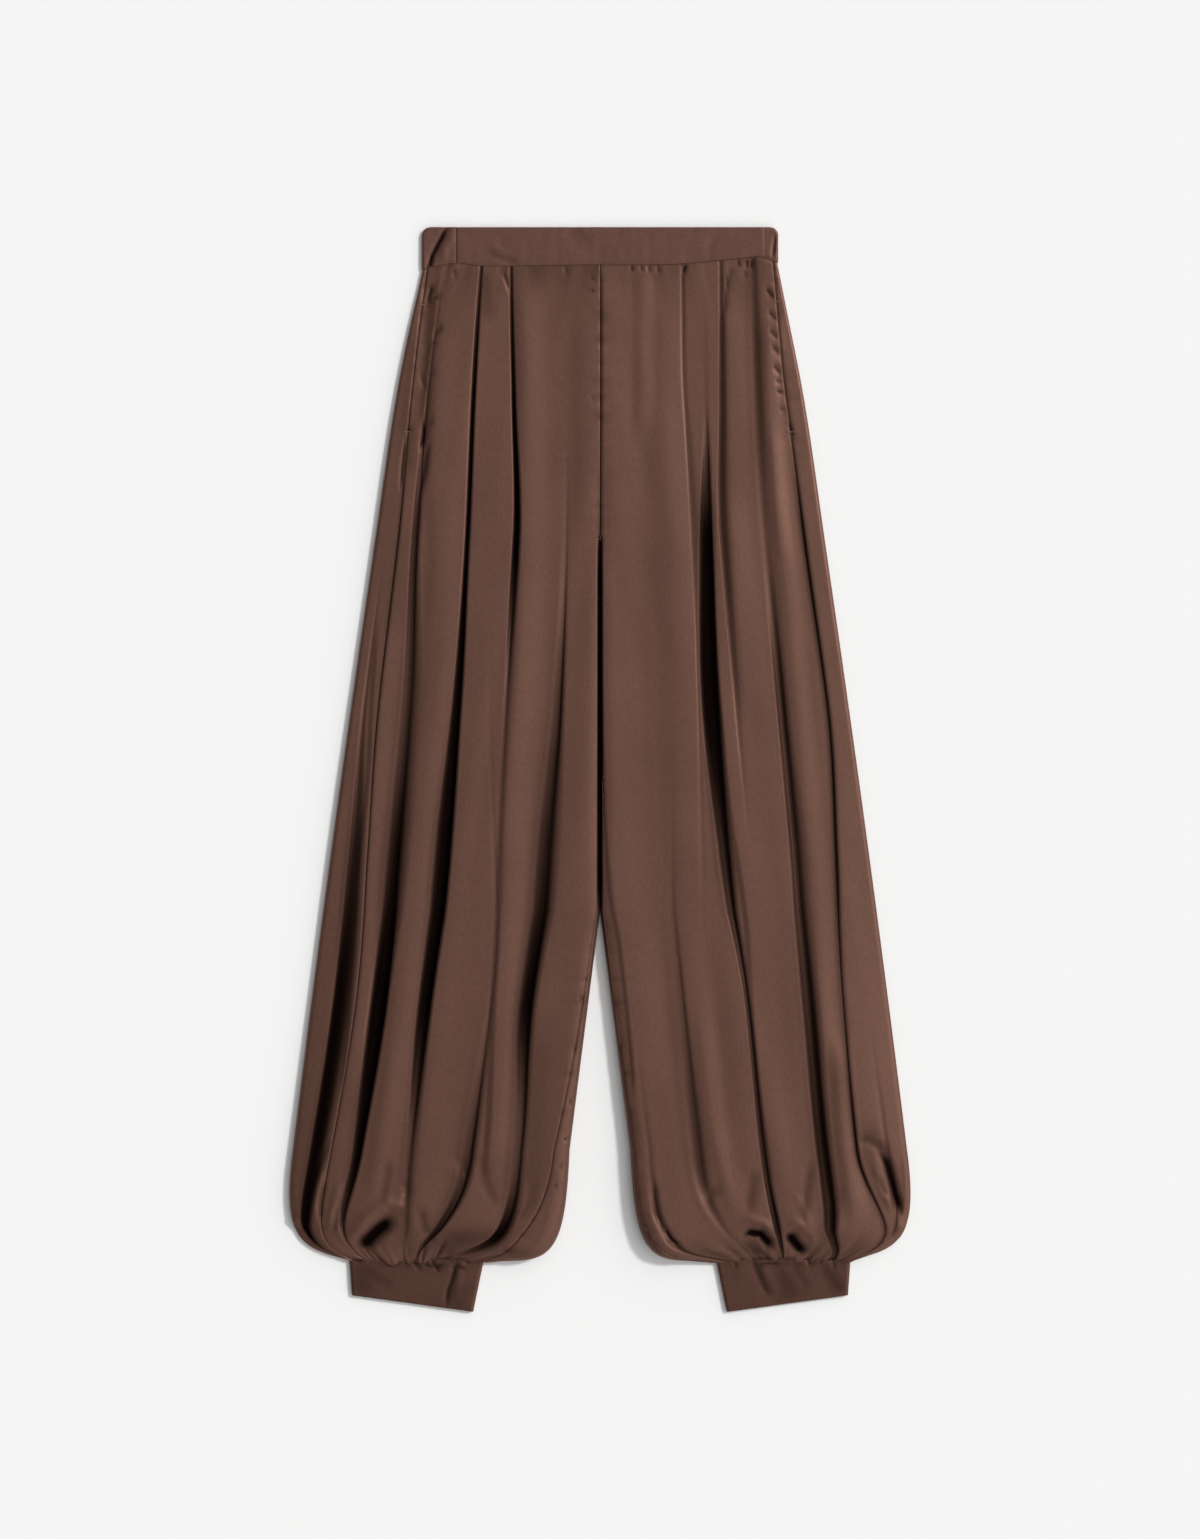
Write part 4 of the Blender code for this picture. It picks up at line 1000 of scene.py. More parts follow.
def fold_aligned(first, folds, last, run):
    """Columns from the first line to the last, crowded beside each fold between them."""
    stops = [first] + [fold_across(fold, run) for fold in folds] + [last]
    before = [None] + [None] * len(folds) + [SOFT_COLUMNS]
    after = [SOFT_COLUMNS] + [None] * (len(folds) + 1)
    half_core = [0.0] * len(stops)
    before_width = [0.0] * (len(folds) + 1) + [SEAM_COLUMNS_WIDTH]
    after_width = [SEAM_COLUMNS_WIDTH] + [0.0] * (len(folds) + 1)
    for i, fold in enumerate(folds, start=1):
        _, half_core[i], lip, soft, _ = fold_sizes(fold, run)
        if fold.lip == "outer":
            before[i], before_width[i], after[i], after_width[i] = LIP_COLUMNS, lip, SOFT_COLUMNS, soft
        else:
            before[i], before_width[i], after[i], after_width[i] = SOFT_COLUMNS, soft, LIP_COLUMNS, lip
    columns = []
    at_plain = int(np.argmin(np.abs(run - PLAIN_AT)))
    for i in range(len(stops) - 1):
        gap = stops[i + 1] - stops[i]
        columns.append(stops[i])
        core = np.minimum(half_core[i], CORE_LIMIT * gap)
        start = stops[i] + core
        if i > 0:
            columns.append(start)
        widest = after[i][-1]
        reach = np.minimum(after_width[i] * widest, REACH_LIMIT * gap - core) / widest
        columns.extend(start + reach * share for share in after[i])
        start = start + reach * after[i][-1]
        core = np.minimum(half_core[i + 1], CORE_LIMIT * gap)
        widest = before[i + 1][-1]
        reach = np.minimum(before_width[i + 1] * widest, REACH_LIMIT * gap - core) / widest
        end = stops[i + 1] - core - reach * before[i + 1][-1]
        plain = max(3, round(float((end - start)[at_plain, 0]) / PLAIN_SPACING))
        columns.extend(start + (end - start) * k / plain for k in range(1, plain))
        columns.extend(stops[i + 1] - core - reach * share for share in reversed(before[i + 1]))
        if i < len(stops) - 2:
            columns.append(stops[i + 1] - core)
    columns.append(stops[-1])
    return np.concatenate([np.broadcast_to(column, run.shape) for column in columns], axis=1)


print(len(ROWS), "rows down each leg")

# %% [markdown]
# A grid of points becomes a mesh of four-sided faces. Each point keeps where it lies in the flat cut, in
# metres, as a UV map for the weave, and how much shade is painted on it, as an attribute for the colour.
# Solidify then gives the sheet its thickness, inwards, so that the outer face stays where it was worked out.
# A section that goes right round is laid out flat by adding up its steps.

# %% From points to cloth
LEG_CLOTH = 0.45
RIM_BEVEL_SEGMENTS = 3
TOP_FROM = 2.2
TOP_BLEND = 2.4
trousers = bpy.data.collections.new("trousers")
bpy.context.scene.collection.children.link(trousers)


def sheet_of(name, points, weave, dark, turned=False):
    """A sheet of cloth from a grid of points in millimetres, rows by columns."""
    rows, columns = points.shape[:2]
    number = np.arange(rows * columns).reshape(rows, columns)
    around = [number[:-1, :-1], number[1:, :-1], number[1:, 1:], number[:-1, 1:]]
    if turned:
        around.reverse()
    corners = np.stack(around, axis=-1).reshape(-1, 4)
    mesh = bpy.data.meshes.new(name)
    mesh.from_pydata((points.reshape(-1, 3) * MM).tolist(), [], corners.tolist())
    laid_flat = (weave.reshape(-1, 2)[corners.ravel()] * MM).ravel()
    mesh.uv_layers.new(name="weave").data.foreach_set("uv", laid_flat)
    # The painted shade of the hollows, seams and gaps is stored as an attribute, read by the satin's colour.
    mesh.attributes.new("dark", "FLOAT", "POINT").data.foreach_set("value", dark.astype(np.float32).ravel())
    mesh.shade_smooth()
    piece = bpy.data.objects.new(name, mesh)
    trousers.objects.link(piece)
    return piece


def thicken(piece, thickness, rim=0.0):
    """Gives a sheet its thickness, and rounds its rim where cloth is doubled and pressed."""
    wall = piece.modifiers.new("thickness", "SOLIDIFY")
    wall.thickness = thickness * MM
    wall.offset = -1.0
    if rim:
        edge = piece.modifiers.new("pressed edge", "BEVEL")
        edge.width = rim * MM
        edge.segments = RIM_BEVEL_SEGMENTS
        edge.limit_method = "ANGLE"
        edge.angle_limit = math.radians(60.0)
    return piece


def laid_out(across, height):
    """How far along its section each point lies, once the section is pulled straight."""
    steps = np.hypot(np.diff(across, axis=1), np.diff(height, axis=1))
    return np.concatenate((np.zeros((len(steps), 1)), np.cumsum(steps, axis=1)), axis=1)


def on_upper_side(height):
    """0 for cloth that lies on the floor, and 1 for cloth that lies on top."""
    return smooth_step((height - TOP_FROM) / TOP_BLEND)


def world_points(side, across, run, height, on_top=1.0):
    out, down = in_plan(side, across, run, on_top)
    return np.stack(np.broadcast_arrays(SIGN[side] * out, LENGTH / 2.0 - down, height), axis=-1)


# %% [markdown]
# ## Front panels
# A front panel runs from the side seam to the centre seam and, below the crotch, to the inseam. Its weave
# runs down the leg, as the cutter lays it.

# %% Front legs
def front_leg(side):
    run = ROWS
    first = seam_across(side, run) + SEAM_GAP / 2.0
    last = inseam_across(side, run) - SEAM_GAP / 2.0
    across = fold_aligned(first, FRONT_FOLDS[side], last, run)
    moved, height, dark = leg_surface(side, across, run)
    height = height + MOUTH_LIFT * beside_mouth(across - first, run, FRONT_MOUTH_REACH)
    weave = np.stack(np.broadcast_arrays(across, -run), axis=-1)
    points = world_points(side, moved, run, height)
    piece = sheet_of("front_leg_" + side + "_cloth", points, weave, dark, turned=side == "left")
    return thicken(piece, LEG_CLOTH)


front_legs = {side: front_leg(side) for side in ("right", "left")}
for piece in front_legs.values():
    print(piece.name, len(piece.data.polygons), "faces")

# %% [markdown]
# ## Back panels
# A back panel lies flat on the floor, rolls round the outer edge and comes back onto the front as far as
# the side seam, and does the same at the inseam. Its section is drawn in five parts: strip, roll, floor,
# roll and strip. The rolls are Bezier curves, so they leave the strip on its own slope.

# %% Back legs
STRIP_COLUMNS = 32
ROLL_COLUMNS = 12
FLOOR_COLUMNS = 36
INNER_COLUMNS = 14
INNER_LIP = 1.0
OFF_FLOOR_FROM = CUFF_RUN - 10.0
OFF_FLOOR_BLEND = 7.0
GAP_DARK_ABOVE = 4.0
STRIP_LIMIT = 0.45
DROP_LIMIT = 0.45
INNER_ROUND = 0.85
CREASE_HALF_WIDTH = 5.0
BackCrease = namedtuple("BackCrease", "place depth")
BACK_CREASES = (
    BackCrease(
        place=At(25.0, 25.0, 26.0, 28.0, 29.0, 29.0, 28.0, 24.0, 20.0),
        depth=At(0.0, 0.0, 0.0, 0.8, 1.5, 1.6, 1.6, 1.6, 0.0),
    ),
    BackCrease(
        place=At(50.0, 50.0, 51.0, 52.0, 53.0, 53.0, 52.0, 51.0, 50.0),
        depth=At(0.0, 0.8, 1.0, 0.8, 0.8, 1.4, 1.6, 1.6, 0.0),
    ),
    BackCrease(
        place=At(76.0, 76.0, 76.0, 75.0, 76.0, 77.0, 78.0, 80.0, 80.0),
        depth=At(0.0, 0.0, 0.0, 0.0, 1.0, 1.5, 1.6, 1.6, 0.0),
    ),
)


def bezier(points, t):
    """A cubic curve through four (across, height) points, as arrays."""
    weights = ((1 - t) ** 3, 3 * t * (1 - t) ** 2, 3 * t * t * (1 - t), t**3)
    return [sum(weight * point[axis] for weight, point in zip(weights, points)) for axis in (0, 1)]


def crease_lift(across, run):
    """How far a crease lifts the underside off the floor."""
    lift = np.zeros(across.shape)
    for crease in BACK_CREASES:
        off = np.abs(across - fold_across(crease, run)) / CREASE_HALF_WIDTH
        lift = np.maximum(lift, np.maximum(at_level(crease.depth, run), 0.0) * (1.0 - smooth_step(off)))
    return lift


def back_leg(side):
    run = ROWS
    width = leg_width(run)
    squeeze = 1.0 + BALLOON_SQUEEZE * smooth_step((run - HEM_RUN) / (CUFF_RUN - HEM_RUN))
    seam = seam_across(side, run) - SEAM_GAP / 2.0
    reach = np.minimum(level_value("outer_roll", run) / 2.0, STRIP_LIMIT * seam) * squeeze

    strip = seam + (reach - seam) * np.linspace(0.0, 1.0, STRIP_COLUMNS)
    strip_across, strip_height, strip_dark = leg_surface(side, strip, run)
    strip_height = strip_height - MOUTH_LIFT * beside_mouth(strip - seam, run, BACK_MOUTH_REACH)

    top = strip_height[:, -1:]
    slope = (strip_height[:, -2:-1] - top) / (strip[:, -2:-1] - strip[:, -1:])
    handle = reach * 4.0 / 3.0
    drop = np.clip(slope * handle, 0.0, DROP_LIMIT * top)
    t = np.linspace(0.0, 1.0, ROLL_COLUMNS + 1)[1:]
    roll_across, roll_height = bezier(
        ((reach, top), (reach - handle, top - drop), (reach - handle, 0.0 * top), (reach, 0.0 * top)), t,
    )

    share = np.maximum(opened(run), 0.02)
    turn = math.pi * share
    inner_top = crown_height(width - INNER_ROLL_REACH * level_value("inner_roll", run), run)
    radius = inner_top * share / (1.0 - np.cos(turn))
    narrow = 2.0 * INNER_ROLL_REACH
    half_open = radius * np.sin(turn) * narrow + INNER_LIP * np.cos(turn)
    inner_reach = np.where(turn < math.pi / 2.0, half_open, radius * narrow) * squeeze
    floor_end = width - SEAM_GAP / 2.0 - inner_reach
    floor = reach + (floor_end - reach) * np.linspace(0.0, 1.0, FLOOR_COLUMNS + 1)[1:]
    floor_height = crease_lift(floor, run)

    inseam = inseam_across(side, run) + SEAM_GAP / 2.0
    seam_strip = floor_end + (inseam - floor_end) * np.linspace(0.0, 1.0, INNER_COLUMNS + 1)
    strip_in_across, strip_in_height, strip_in_dark = leg_surface(side, seam_strip, run)
    angle = turn * np.linspace(0.0, 1.0, ROLL_COLUMNS + 1)[1:]
    arc_across = floor_end + radius * np.sin(angle) * narrow * squeeze
    arc_height = radius - radius * np.cos(angle)
    inner_handle = radius * narrow * squeeze * 4.0 / 3.0
    inner_roof = strip_in_height[:, :1]
    open_across, open_height = bezier(
        (
            (floor_end, 0.0 * inner_roof), (floor_end + inner_handle, 0.0 * inner_roof),
            (floor_end + inner_handle, INNER_ROUND * inner_roof), (floor_end, inner_roof),
        ), t,
    )
    is_open = smooth_step((opened(run) - 0.5) / 0.5)
    inner_across = arc_across + (open_across - arc_across) * is_open
    inner_height = arc_height + (open_height - arc_height) * is_open
    lip_share = np.linspace(0.0, 1.0, INNER_COLUMNS + 1)[1:]
    lip_across = arc_across[:, -1:] + INNER_LIP * np.cos(turn) * squeeze * lip_share
    lip_height = arc_height[:, -1:] + INNER_LIP * np.sin(turn) * lip_share
    end_across = lip_across + (strip_in_across[:, 1:] - lip_across) * is_open
    end_height = lip_height + (strip_in_height[:, 1:] - lip_height) * is_open

    across = np.concatenate((strip_across, roll_across, floor, inner_across, end_across), axis=1)
    height = np.concatenate((strip_height, roll_height, floor_height, inner_height, end_height), axis=1)
    off_floor = LEG_CLOTH * smooth_step((run - OFF_FLOOR_FROM) / OFF_FLOOR_BLEND)
    height = np.maximum(height, off_floor)
    # Painted shade: the strips that come round onto the front take that of the upper surface, and the inner
    # roll that of the gap between the legs.
    dark = np.zeros(across.shape)
    dark[:, :STRIP_COLUMNS] = strip_dark
    dark[:, -INNER_COLUMNS:] = strip_in_dark[:, 1:] * is_open
    inner_dark = centre_dark(side, width, run) * np.clip(inner_height / GAP_DARK_ABOVE, 0.0, 1.0)
    dark[:, -INNER_COLUMNS - ROLL_COLUMNS : -INNER_COLUMNS] = inner_dark
    points = world_points(side, across, run, height, on_upper_side(height))
    weave = np.stack(np.broadcast_arrays(-laid_out(across, height), -run), axis=-1)
    piece = sheet_of("back_leg_" + side + "_cloth", points, weave, dark, turned=side == "right")
    return thicken(piece, LEG_CLOTH)


back_legs = {side: back_leg(side) for side in ("right", "left")}
for piece in back_legs.values():
    print(piece.name, len(piece.data.polygons), "faces")

# %% [markdown]
# ## Waistband
# The band is a strip of the same satin, doubled over a stiffening and pressed. Its front is plain and flat.
# Its back runs over elastic, which gathers it finely, and it wraps round both ends onto the front. Both
# parts are sheets of double cloth with a rounded rim.

# %% Waistband
BAND_CLOTH = 1.5
BAND_RIM = 0.6
BAND_ROWS = 22
FRONT_BAND_COLUMNS = 220
BAND_ROLL_COLUMNS = 10
WRAP_COLUMNS = 24
BACK_BAND_COLUMNS = 160
BAND_HILLS = (Hills(0.16, 17.0, 13.0, 51), Hills(0.1, 6.0, 26.0, 52))
BAND_RUCHING = Hills(0.3, 3.2, 30.0, 53)
BAND_RIPPLES = Hills(0.12, 3.6, 30.0, 54)
EDGE_DROP = 0.5
BAND_EDGE = 2.6
END_DROP = 0.35
BAND_END_SHADE = 0.35
# The band's wrinkles; the third number of each is the shade painted into it.
BAND_WRINKLES = (
    Crease("end wrinkle", 1.6, 2.6, 0.9, ((-146, -6), (-156, 13), (-164, 27), (-170, 48))),
    Crease("end ridge", -0.6, 3.5, 0.0, ((-141, 4), (-149, 18), (-156, 34))),
    Crease("soft wrinkle", 0.6, 3.0, 0.2, ((-116, 20), (-96, 29), (-76, 36))),
    Crease("soft wrinkle", 0.35, 4.0, 0.0, ((-100, 8), (-92, 22))),
    Crease("end wrinkle", 0.8, 2.0, 0.5, ((172, 4), (168, 36))),
    Crease("soft wrinkle", 0.5, 9.0, 0.1, ((-34, 0), (-22, 8), (-14, 2))),
    Crease("soft wrinkle", 0.3, 7.0, 0.0, ((112, 4), (104, 30))),
)


def band_half_width(run):
    """Half the waistband's width: its top corners are rounded."""
    drop = np.maximum(BAND_CORNER - run, 0.0)
    return BAND_HALF_WIDTH - BAND_CORNER + np.sqrt(BAND_CORNER**2 - drop**2)


def band_points(x, run, height, on_top):
    """Places a point of the band: its lower edge follows the waist seam."""
    down = run * waist_seam_run(x, on_top) / BAND_DEPTH
    return np.stack(np.broadcast_arrays(x, LENGTH / 2.0 - down, height), axis=-1)


def band_swell(x, run):
    """Pressed cloth: a hair lower at both edges, and slightly uneven."""
    edge = np.minimum(run, BAND_DEPTH - run)
    low_edge = EDGE_DROP * (1.0 - smooth_step(edge / BAND_EDGE))
    return sum(rough(kind, x, run) for kind in BAND_HILLS) - low_edge


BAND_RUNS = np.concatenate(([0.0, 0.35, 0.9, 1.7], np.linspace(3.0, BAND_DEPTH - 2.4, BAND_ROWS - 8)))
BAND_RUNS = np.concatenate((BAND_RUNS, BAND_DEPTH - np.array([1.5, 0.8, 0.3, 0.0])))[:, None]


def front_band():
    x = np.linspace(FRONT_BAND_FROM, FRONT_BAND_TO, FRONT_BAND_COLUMNS)[None, :] + 0.0 * BAND_RUNS
    edge = np.minimum(x - FRONT_BAND_FROM, FRONT_BAND_TO - x)
    pressed, dark = pressed_in(BAND_WRINKLES, x, BAND_RUNS + 0.0 * x)
    height = BAND_STACK + band_swell(x, BAND_RUNS) - pressed - END_DROP * np.exp(-((edge / 1.2) ** 2))
    # Painted shade at both ends of the front band, where it meets the back band.
    dark = np.maximum(dark, BAND_END_SHADE * np.exp(-(edge**2)))
    weave = np.stack(np.broadcast_arrays(BAND_RUNS, x), axis=-1)
    piece = sheet_of("waistband_front_cloth", band_points(x, BAND_RUNS, height, 1.0), weave, dark)
    return thicken(piece, BAND_CLOTH, BAND_RIM)


def back_band():
    roll = BAND_STACK / 2.0
    half = band_half_width(BAND_RUNS)
    angle = math.pi * np.linspace(0.0, 1.0, BAND_ROLL_COLUMNS + 1)
    right_end = FRONT_BAND_FROM - SEAM_GAP
    left_end = FRONT_BAND_TO + SEAM_GAP
    wrap = right_end + (roll - half - right_end) * np.linspace(0.0, 1.0, WRAP_COLUMNS)
    under = (roll - half) + 2.0 * (half - roll) * np.linspace(0.0, 1.0, BACK_BAND_COLUMNS)[1:-1]
    back_wrap = (half - roll) + (left_end - half + roll) * np.linspace(0.0, 1.0, WRAP_COLUMNS)[1:]
    x = np.concatenate(
        (
            wrap[:, :-1], (roll - half) - roll * np.sin(angle), under,
            (half - roll) + roll * np.sin(angle), back_wrap,
        ), axis=1,
    )
    flat = np.ones(BAND_RUNS.shape)
    height = np.concatenate(
        (
            BAND_STACK * flat * np.ones(WRAP_COLUMNS - 1), flat * (roll + roll * np.cos(angle)),
            0.0 * flat * np.ones(BACK_BAND_COLUMNS - 2), flat * (roll - roll * np.cos(angle)),
            BAND_STACK * flat * np.ones(WRAP_COLUMNS - 1),
        ), axis=1,
    )
    on_top = on_upper_side(height)
    ruching = (BAND_RUCHING.height + rough(BAND_RUCHING, x, BAND_RUNS)) * (1.0 - on_top)
    pressed, dark = pressed_in(BAND_WRINKLES, x, BAND_RUNS + 0.0 * x)
    ripples = rough(BAND_RIPPLES, x, BAND_RUNS)
    height = height + ruching + on_top * (band_swell(x, BAND_RUNS) - pressed + ripples)
    weave = np.stack(np.broadcast_arrays(BAND_RUNS, laid_out(x, height)), axis=-1)
    points = band_points(x, BAND_RUNS, height, on_top)
    # The wrinkles' painted shade, on the upper face only.
    piece = sheet_of("waistband_back_cloth", points, weave, dark * on_top, turned=True)
    return thicken(piece, BAND_CLOTH, BAND_RIM)


band_front, band_back = front_band(), back_band()
print("waistband:", len(band_front.data.polygons) + len(band_back.data.polygons), "faces")

# %% [markdown]
# ## Cuffs
# Each cuff is a ring of double cloth, pressed flat and tilted outwards, with its own seam hidden
# underneath. The section goes once round the ring, and the rows go down it.

# %% Cuffs
CUFF_HEIGHT = 5.6
CUFF_DEPTH = 45.0
CUFF_CUT_DEPTH = 50.0
CUFF_EDGE_ROWS = np.array([0.0, 0.01, 0.03, 0.055])
CUFF_LAST_COLUMNS = 7
CUFF_HILLS = Hills(0.25, 19.0, 15.0, 61)
CUFF_PUCKERS = Hills(0.3, 5.0, 18.0, 62)
CUFF_PUCKERS_REACH = 9.0
CUFF_EDGE = 2.4
# Painted shade on the cuff just below its seam, under the cloth that hangs over it.
CUFF_SHADE_BELOW_SEAM = 0.5
CUFF_SHADE_BELOW_SEAM_REACH = 3.0
CUFF_SHADE_BELOW_SEAM_BREAKS = Hills(0.8, 8.0, 1.0, 63)
CUFF_WIDTH = 125.0
CUFF_SEAM_SHARE = 0.9
CUFF_END_OUTER = (242.2, 1042.6)
CUFF_END_INNER = (123.8, 1058.8)
CUFF_CLOTH = 1.2
CUFF_RIM = 0.5
CUFF_ROWS = 30
CUFF_FACE_COLUMNS = 90
CUFF_ROLL_COLUMNS = 10
# The cuffs' wrinkles, each with shade painted into it; the rows named shade are mostly painted shade.
CUFF_WRINKLES = (
    Crease("press fold", 0.9, 2.6, 0.6, ((-138, 1002), (-144, 1027), (-148, 1038), (-151, 1060))),
    Crease("press ridge", -0.5, 4.0, 0.0, ((-133, 1004), (-138, 1027), (-142, 1052))),
    Crease("gather pucker", 1.0, 2.0, 0.55, ((-166, 1006), (-156, 1021))),
    Crease("gather pucker", 0.9, 2.0, 0.45, ((-186, 1006), (-174, 1019))),
    Crease("seam crease", 1.0, 1.8, 0.6, ((-176, 1011), (-162, 1015), (-150, 1012))),
    Crease("seam crease", 0.9, 1.6, 0.55, ((-148, 1017), (-138, 1014), (-129, 1018))),
    Crease("seam shade", 0.3, 6.0, 0.25, ((-236, 1008), (-200, 1010), (-160, 1013), (-134, 1013))),
    Crease("seam shade", 0.3, 6.0, 0.22, ((142, 1012), (180, 1011), (232, 1008))),
    Crease("seam crease", 0.9, 1.8, 0.5, ((150, 1014), (163, 1011), (178, 1013))),
    Crease("facet shade", 0.2, 13.0, 0.24, ((170, 1012), (182, 1030), (190, 1052))),
    Crease("facet shade", 0.5, 7.0, 0.3, ((214, 1008), (226, 1026), (236, 1044))),
    Crease("facet shade", 0.2, 12.0, 0.26, ((-232, 1006), (-232, 1026), (-238, 1046))),
    Crease("facet shade", 0.2, 8.0, 0.22, ((-138, 1026), (-140, 1050), (-142, 1062))),
    Crease("gather pucker", 0.6, 2.0, 0.3, ((-206, 1000), (-202, 1014))),
    Crease("gather pucker", 0.6, 2.0, 0.3, ((-226, 1000), (-225, 1012))),
    Crease("soft wrinkle", 0.6, 5.0, 0.15, ((-235, 1018), (-200, 1036))),
    Crease("press fold", 0.8, 3.6, 0.4, ((146, 1000), (154, 1020), (160, 1034), (169, 1048))),
    Crease("press ridge", -0.5, 4.6, 0.0, ((154, 1004), (163, 1024), (174, 1042))),
    Crease("soft wrinkle", 0.6, 5.0, 0.1, ((184, 1010), (204, 1040))),
    Crease("gather pucker", 0.6, 2.0, 0.3, ((199, 1000), (205, 1016))),
    Crease("gather pucker", 0.6, 2.0, 0.3, ((226, 1000), (229, 1020))),
    Crease("gather pucker", 0.5, 1.8, 0.3, ((130, 1006), (134, 1018))),
)


def cuff(side):
    roll = CUFF_HEIGHT / 2.0
    reach = roll / CUFF_WIDTH
    seam = CUFF_SEAM_SHARE
    angle = math.pi * np.linspace(0.0, 1.0, CUFF_ROLL_COLUMNS + 1)
    face = np.linspace(0.0, 1.0, CUFF_FACE_COLUMNS)
    share = np.concatenate(
        (
            seam + (reach - seam) * face[:-1], reach - reach * np.sin(angle),
            reach + (1.0 - 2.0 * reach) * face[1:-1], 1.0 - reach + reach * np.sin(angle),
            np.linspace(1.0 - reach, seam + SEAM_GAP / CUFF_WIDTH, CUFF_LAST_COLUMNS + 1)[1:],
        )
    )
    height = np.concatenate(
        (
            0.0 * face[:-1], roll - roll * np.cos(angle), CUFF_HEIGHT + 0.0 * face[1:-1],
            roll + roll * np.cos(angle), np.zeros(CUFF_LAST_COLUMNS),
        )
    )
    middle_rows = np.linspace(0.09, 0.91, CUFF_ROWS - 2 * len(CUFF_EDGE_ROWS))
    down = np.concatenate((CUFF_EDGE_ROWS, middle_rows, 1.0 - CUFF_EDGE_ROWS[::-1]))
    share, height, down = share[None, :], height[None, :], down[:, None]
    top = [BALLOON_OUTER.end[i] + (BALLOON_INNER.end[i] - BALLOON_OUTER.end[i]) * share for i in (0, 1)]
    end = [CUFF_END_OUTER[i] + (CUFF_END_INNER[i] - CUFF_END_OUTER[i]) * share for i in (0, 1)]
    out, run = [top[i] + (end[i] - top[i]) * down for i in (0, 1)]
    on_top = smooth_step((height - roll) / roll)
    below_seam = down * CUFF_DEPTH
    edge = np.minimum(below_seam, CUFF_DEPTH - below_seam)
    pressed, dark = pressed_in(CUFF_WRINKLES, SIGN[side] * out, run)
    gathers = rough(CUFF_PUCKERS, out, run) * np.exp(-below_seam / CUFF_PUCKERS_REACH)
    low_edge = EDGE_DROP * (1.0 - smooth_step(edge / CUFF_EDGE))
    height = height + on_top * (rough(CUFF_HILLS, out, run) + gathers - low_edge - pressed)
    points = np.stack(np.broadcast_arrays(SIGN[side] * out, LENGTH / 2.0 - run, height), axis=-1)
    round_ring = 2.0 * CUFF_WIDTH * np.linspace(0.0, 1.0, share.shape[1])
    weave = np.stack(np.broadcast_arrays(CUFF_CUT_DEPTH * down, round_ring), axis=-1)
    # Painted shade below the seam, broken up along it and lighter on the gathers, on the upper face only.
    broken = np.clip(0.6 + rough(CUFF_SHADE_BELOW_SEAM_BREAKS, out, ONE_ROW), 0.0, 1.0)
    shade_below_seam = CUFF_SHADE_BELOW_SEAM * broken * np.exp(-below_seam / CUFF_SHADE_BELOW_SEAM_REACH)
    dark = np.maximum(dark, shade_below_seam - gathers) * on_top
    piece = sheet_of("cuff_" + side + "_cloth", points, weave, dark, turned=side == "left")
    return thicken(piece, CUFF_CLOTH, CUFF_RIM)


cuffs = {side: cuff(side) for side in ("right", "left")}
for piece in cuffs.values():
    print(piece.name, len(piece.data.polygons), "faces")

# %% [markdown]
# ## Satin
# The cloth is a polyester satin: its long floating threads run one way and lie side by side, so it shines
# softly along them and looks plain across. A node tree gives it that. Part of the light comes back in the
# cloth's own colour, as from a brushed metal, which is how the sheen follows every rise. Anisotropy
# stretches it along the thread, a fine wave makes the thread lines, two noises vary the dye, and the
# attribute paints shade into the hollows, seams and gaps: it darkens the colour and dims the shine there.

# %% Satin material
SATIN_COLOUR = "#62453B"
# The near-black colour that the painted shade mixes in.
PAINTED_SHADE_COLOUR = "#0E0705"
BAND_COLOUR = "#65473E"
CUFF_COLOUR = "#523830"
THREAD_PITCH = 0.7 * MM
DYE_PATCH = 70.0 * MM
SLUB = 2.6 * MM
WAVE_REPEAT = 0.314
SHEEN_LEVEL = 0.5
SHEEN_TINT = "#E0BAA6"
SLUB_STRETCH = 0.45
THREAD_RELIEF = 0.03 * MM
SLUB_RELIEF = 0.1 * MM
LIKE_METAL = 0.45
SATIN_ROUGHNESS = 0.44
SATIN_ANISOTROPY = 0.3


def from_hex(code):
    """An sRGB hex colour as the linear numbers that a shader wants."""
    parts = [int(code[i : i + 2], 16) / 255.0 for i in (1, 3, 5)]
    return tuple(c / 12.92 if c <= 0.04045 else ((c + 0.055) / 1.055) ** 2.4 for c in parts) + (1.0,)


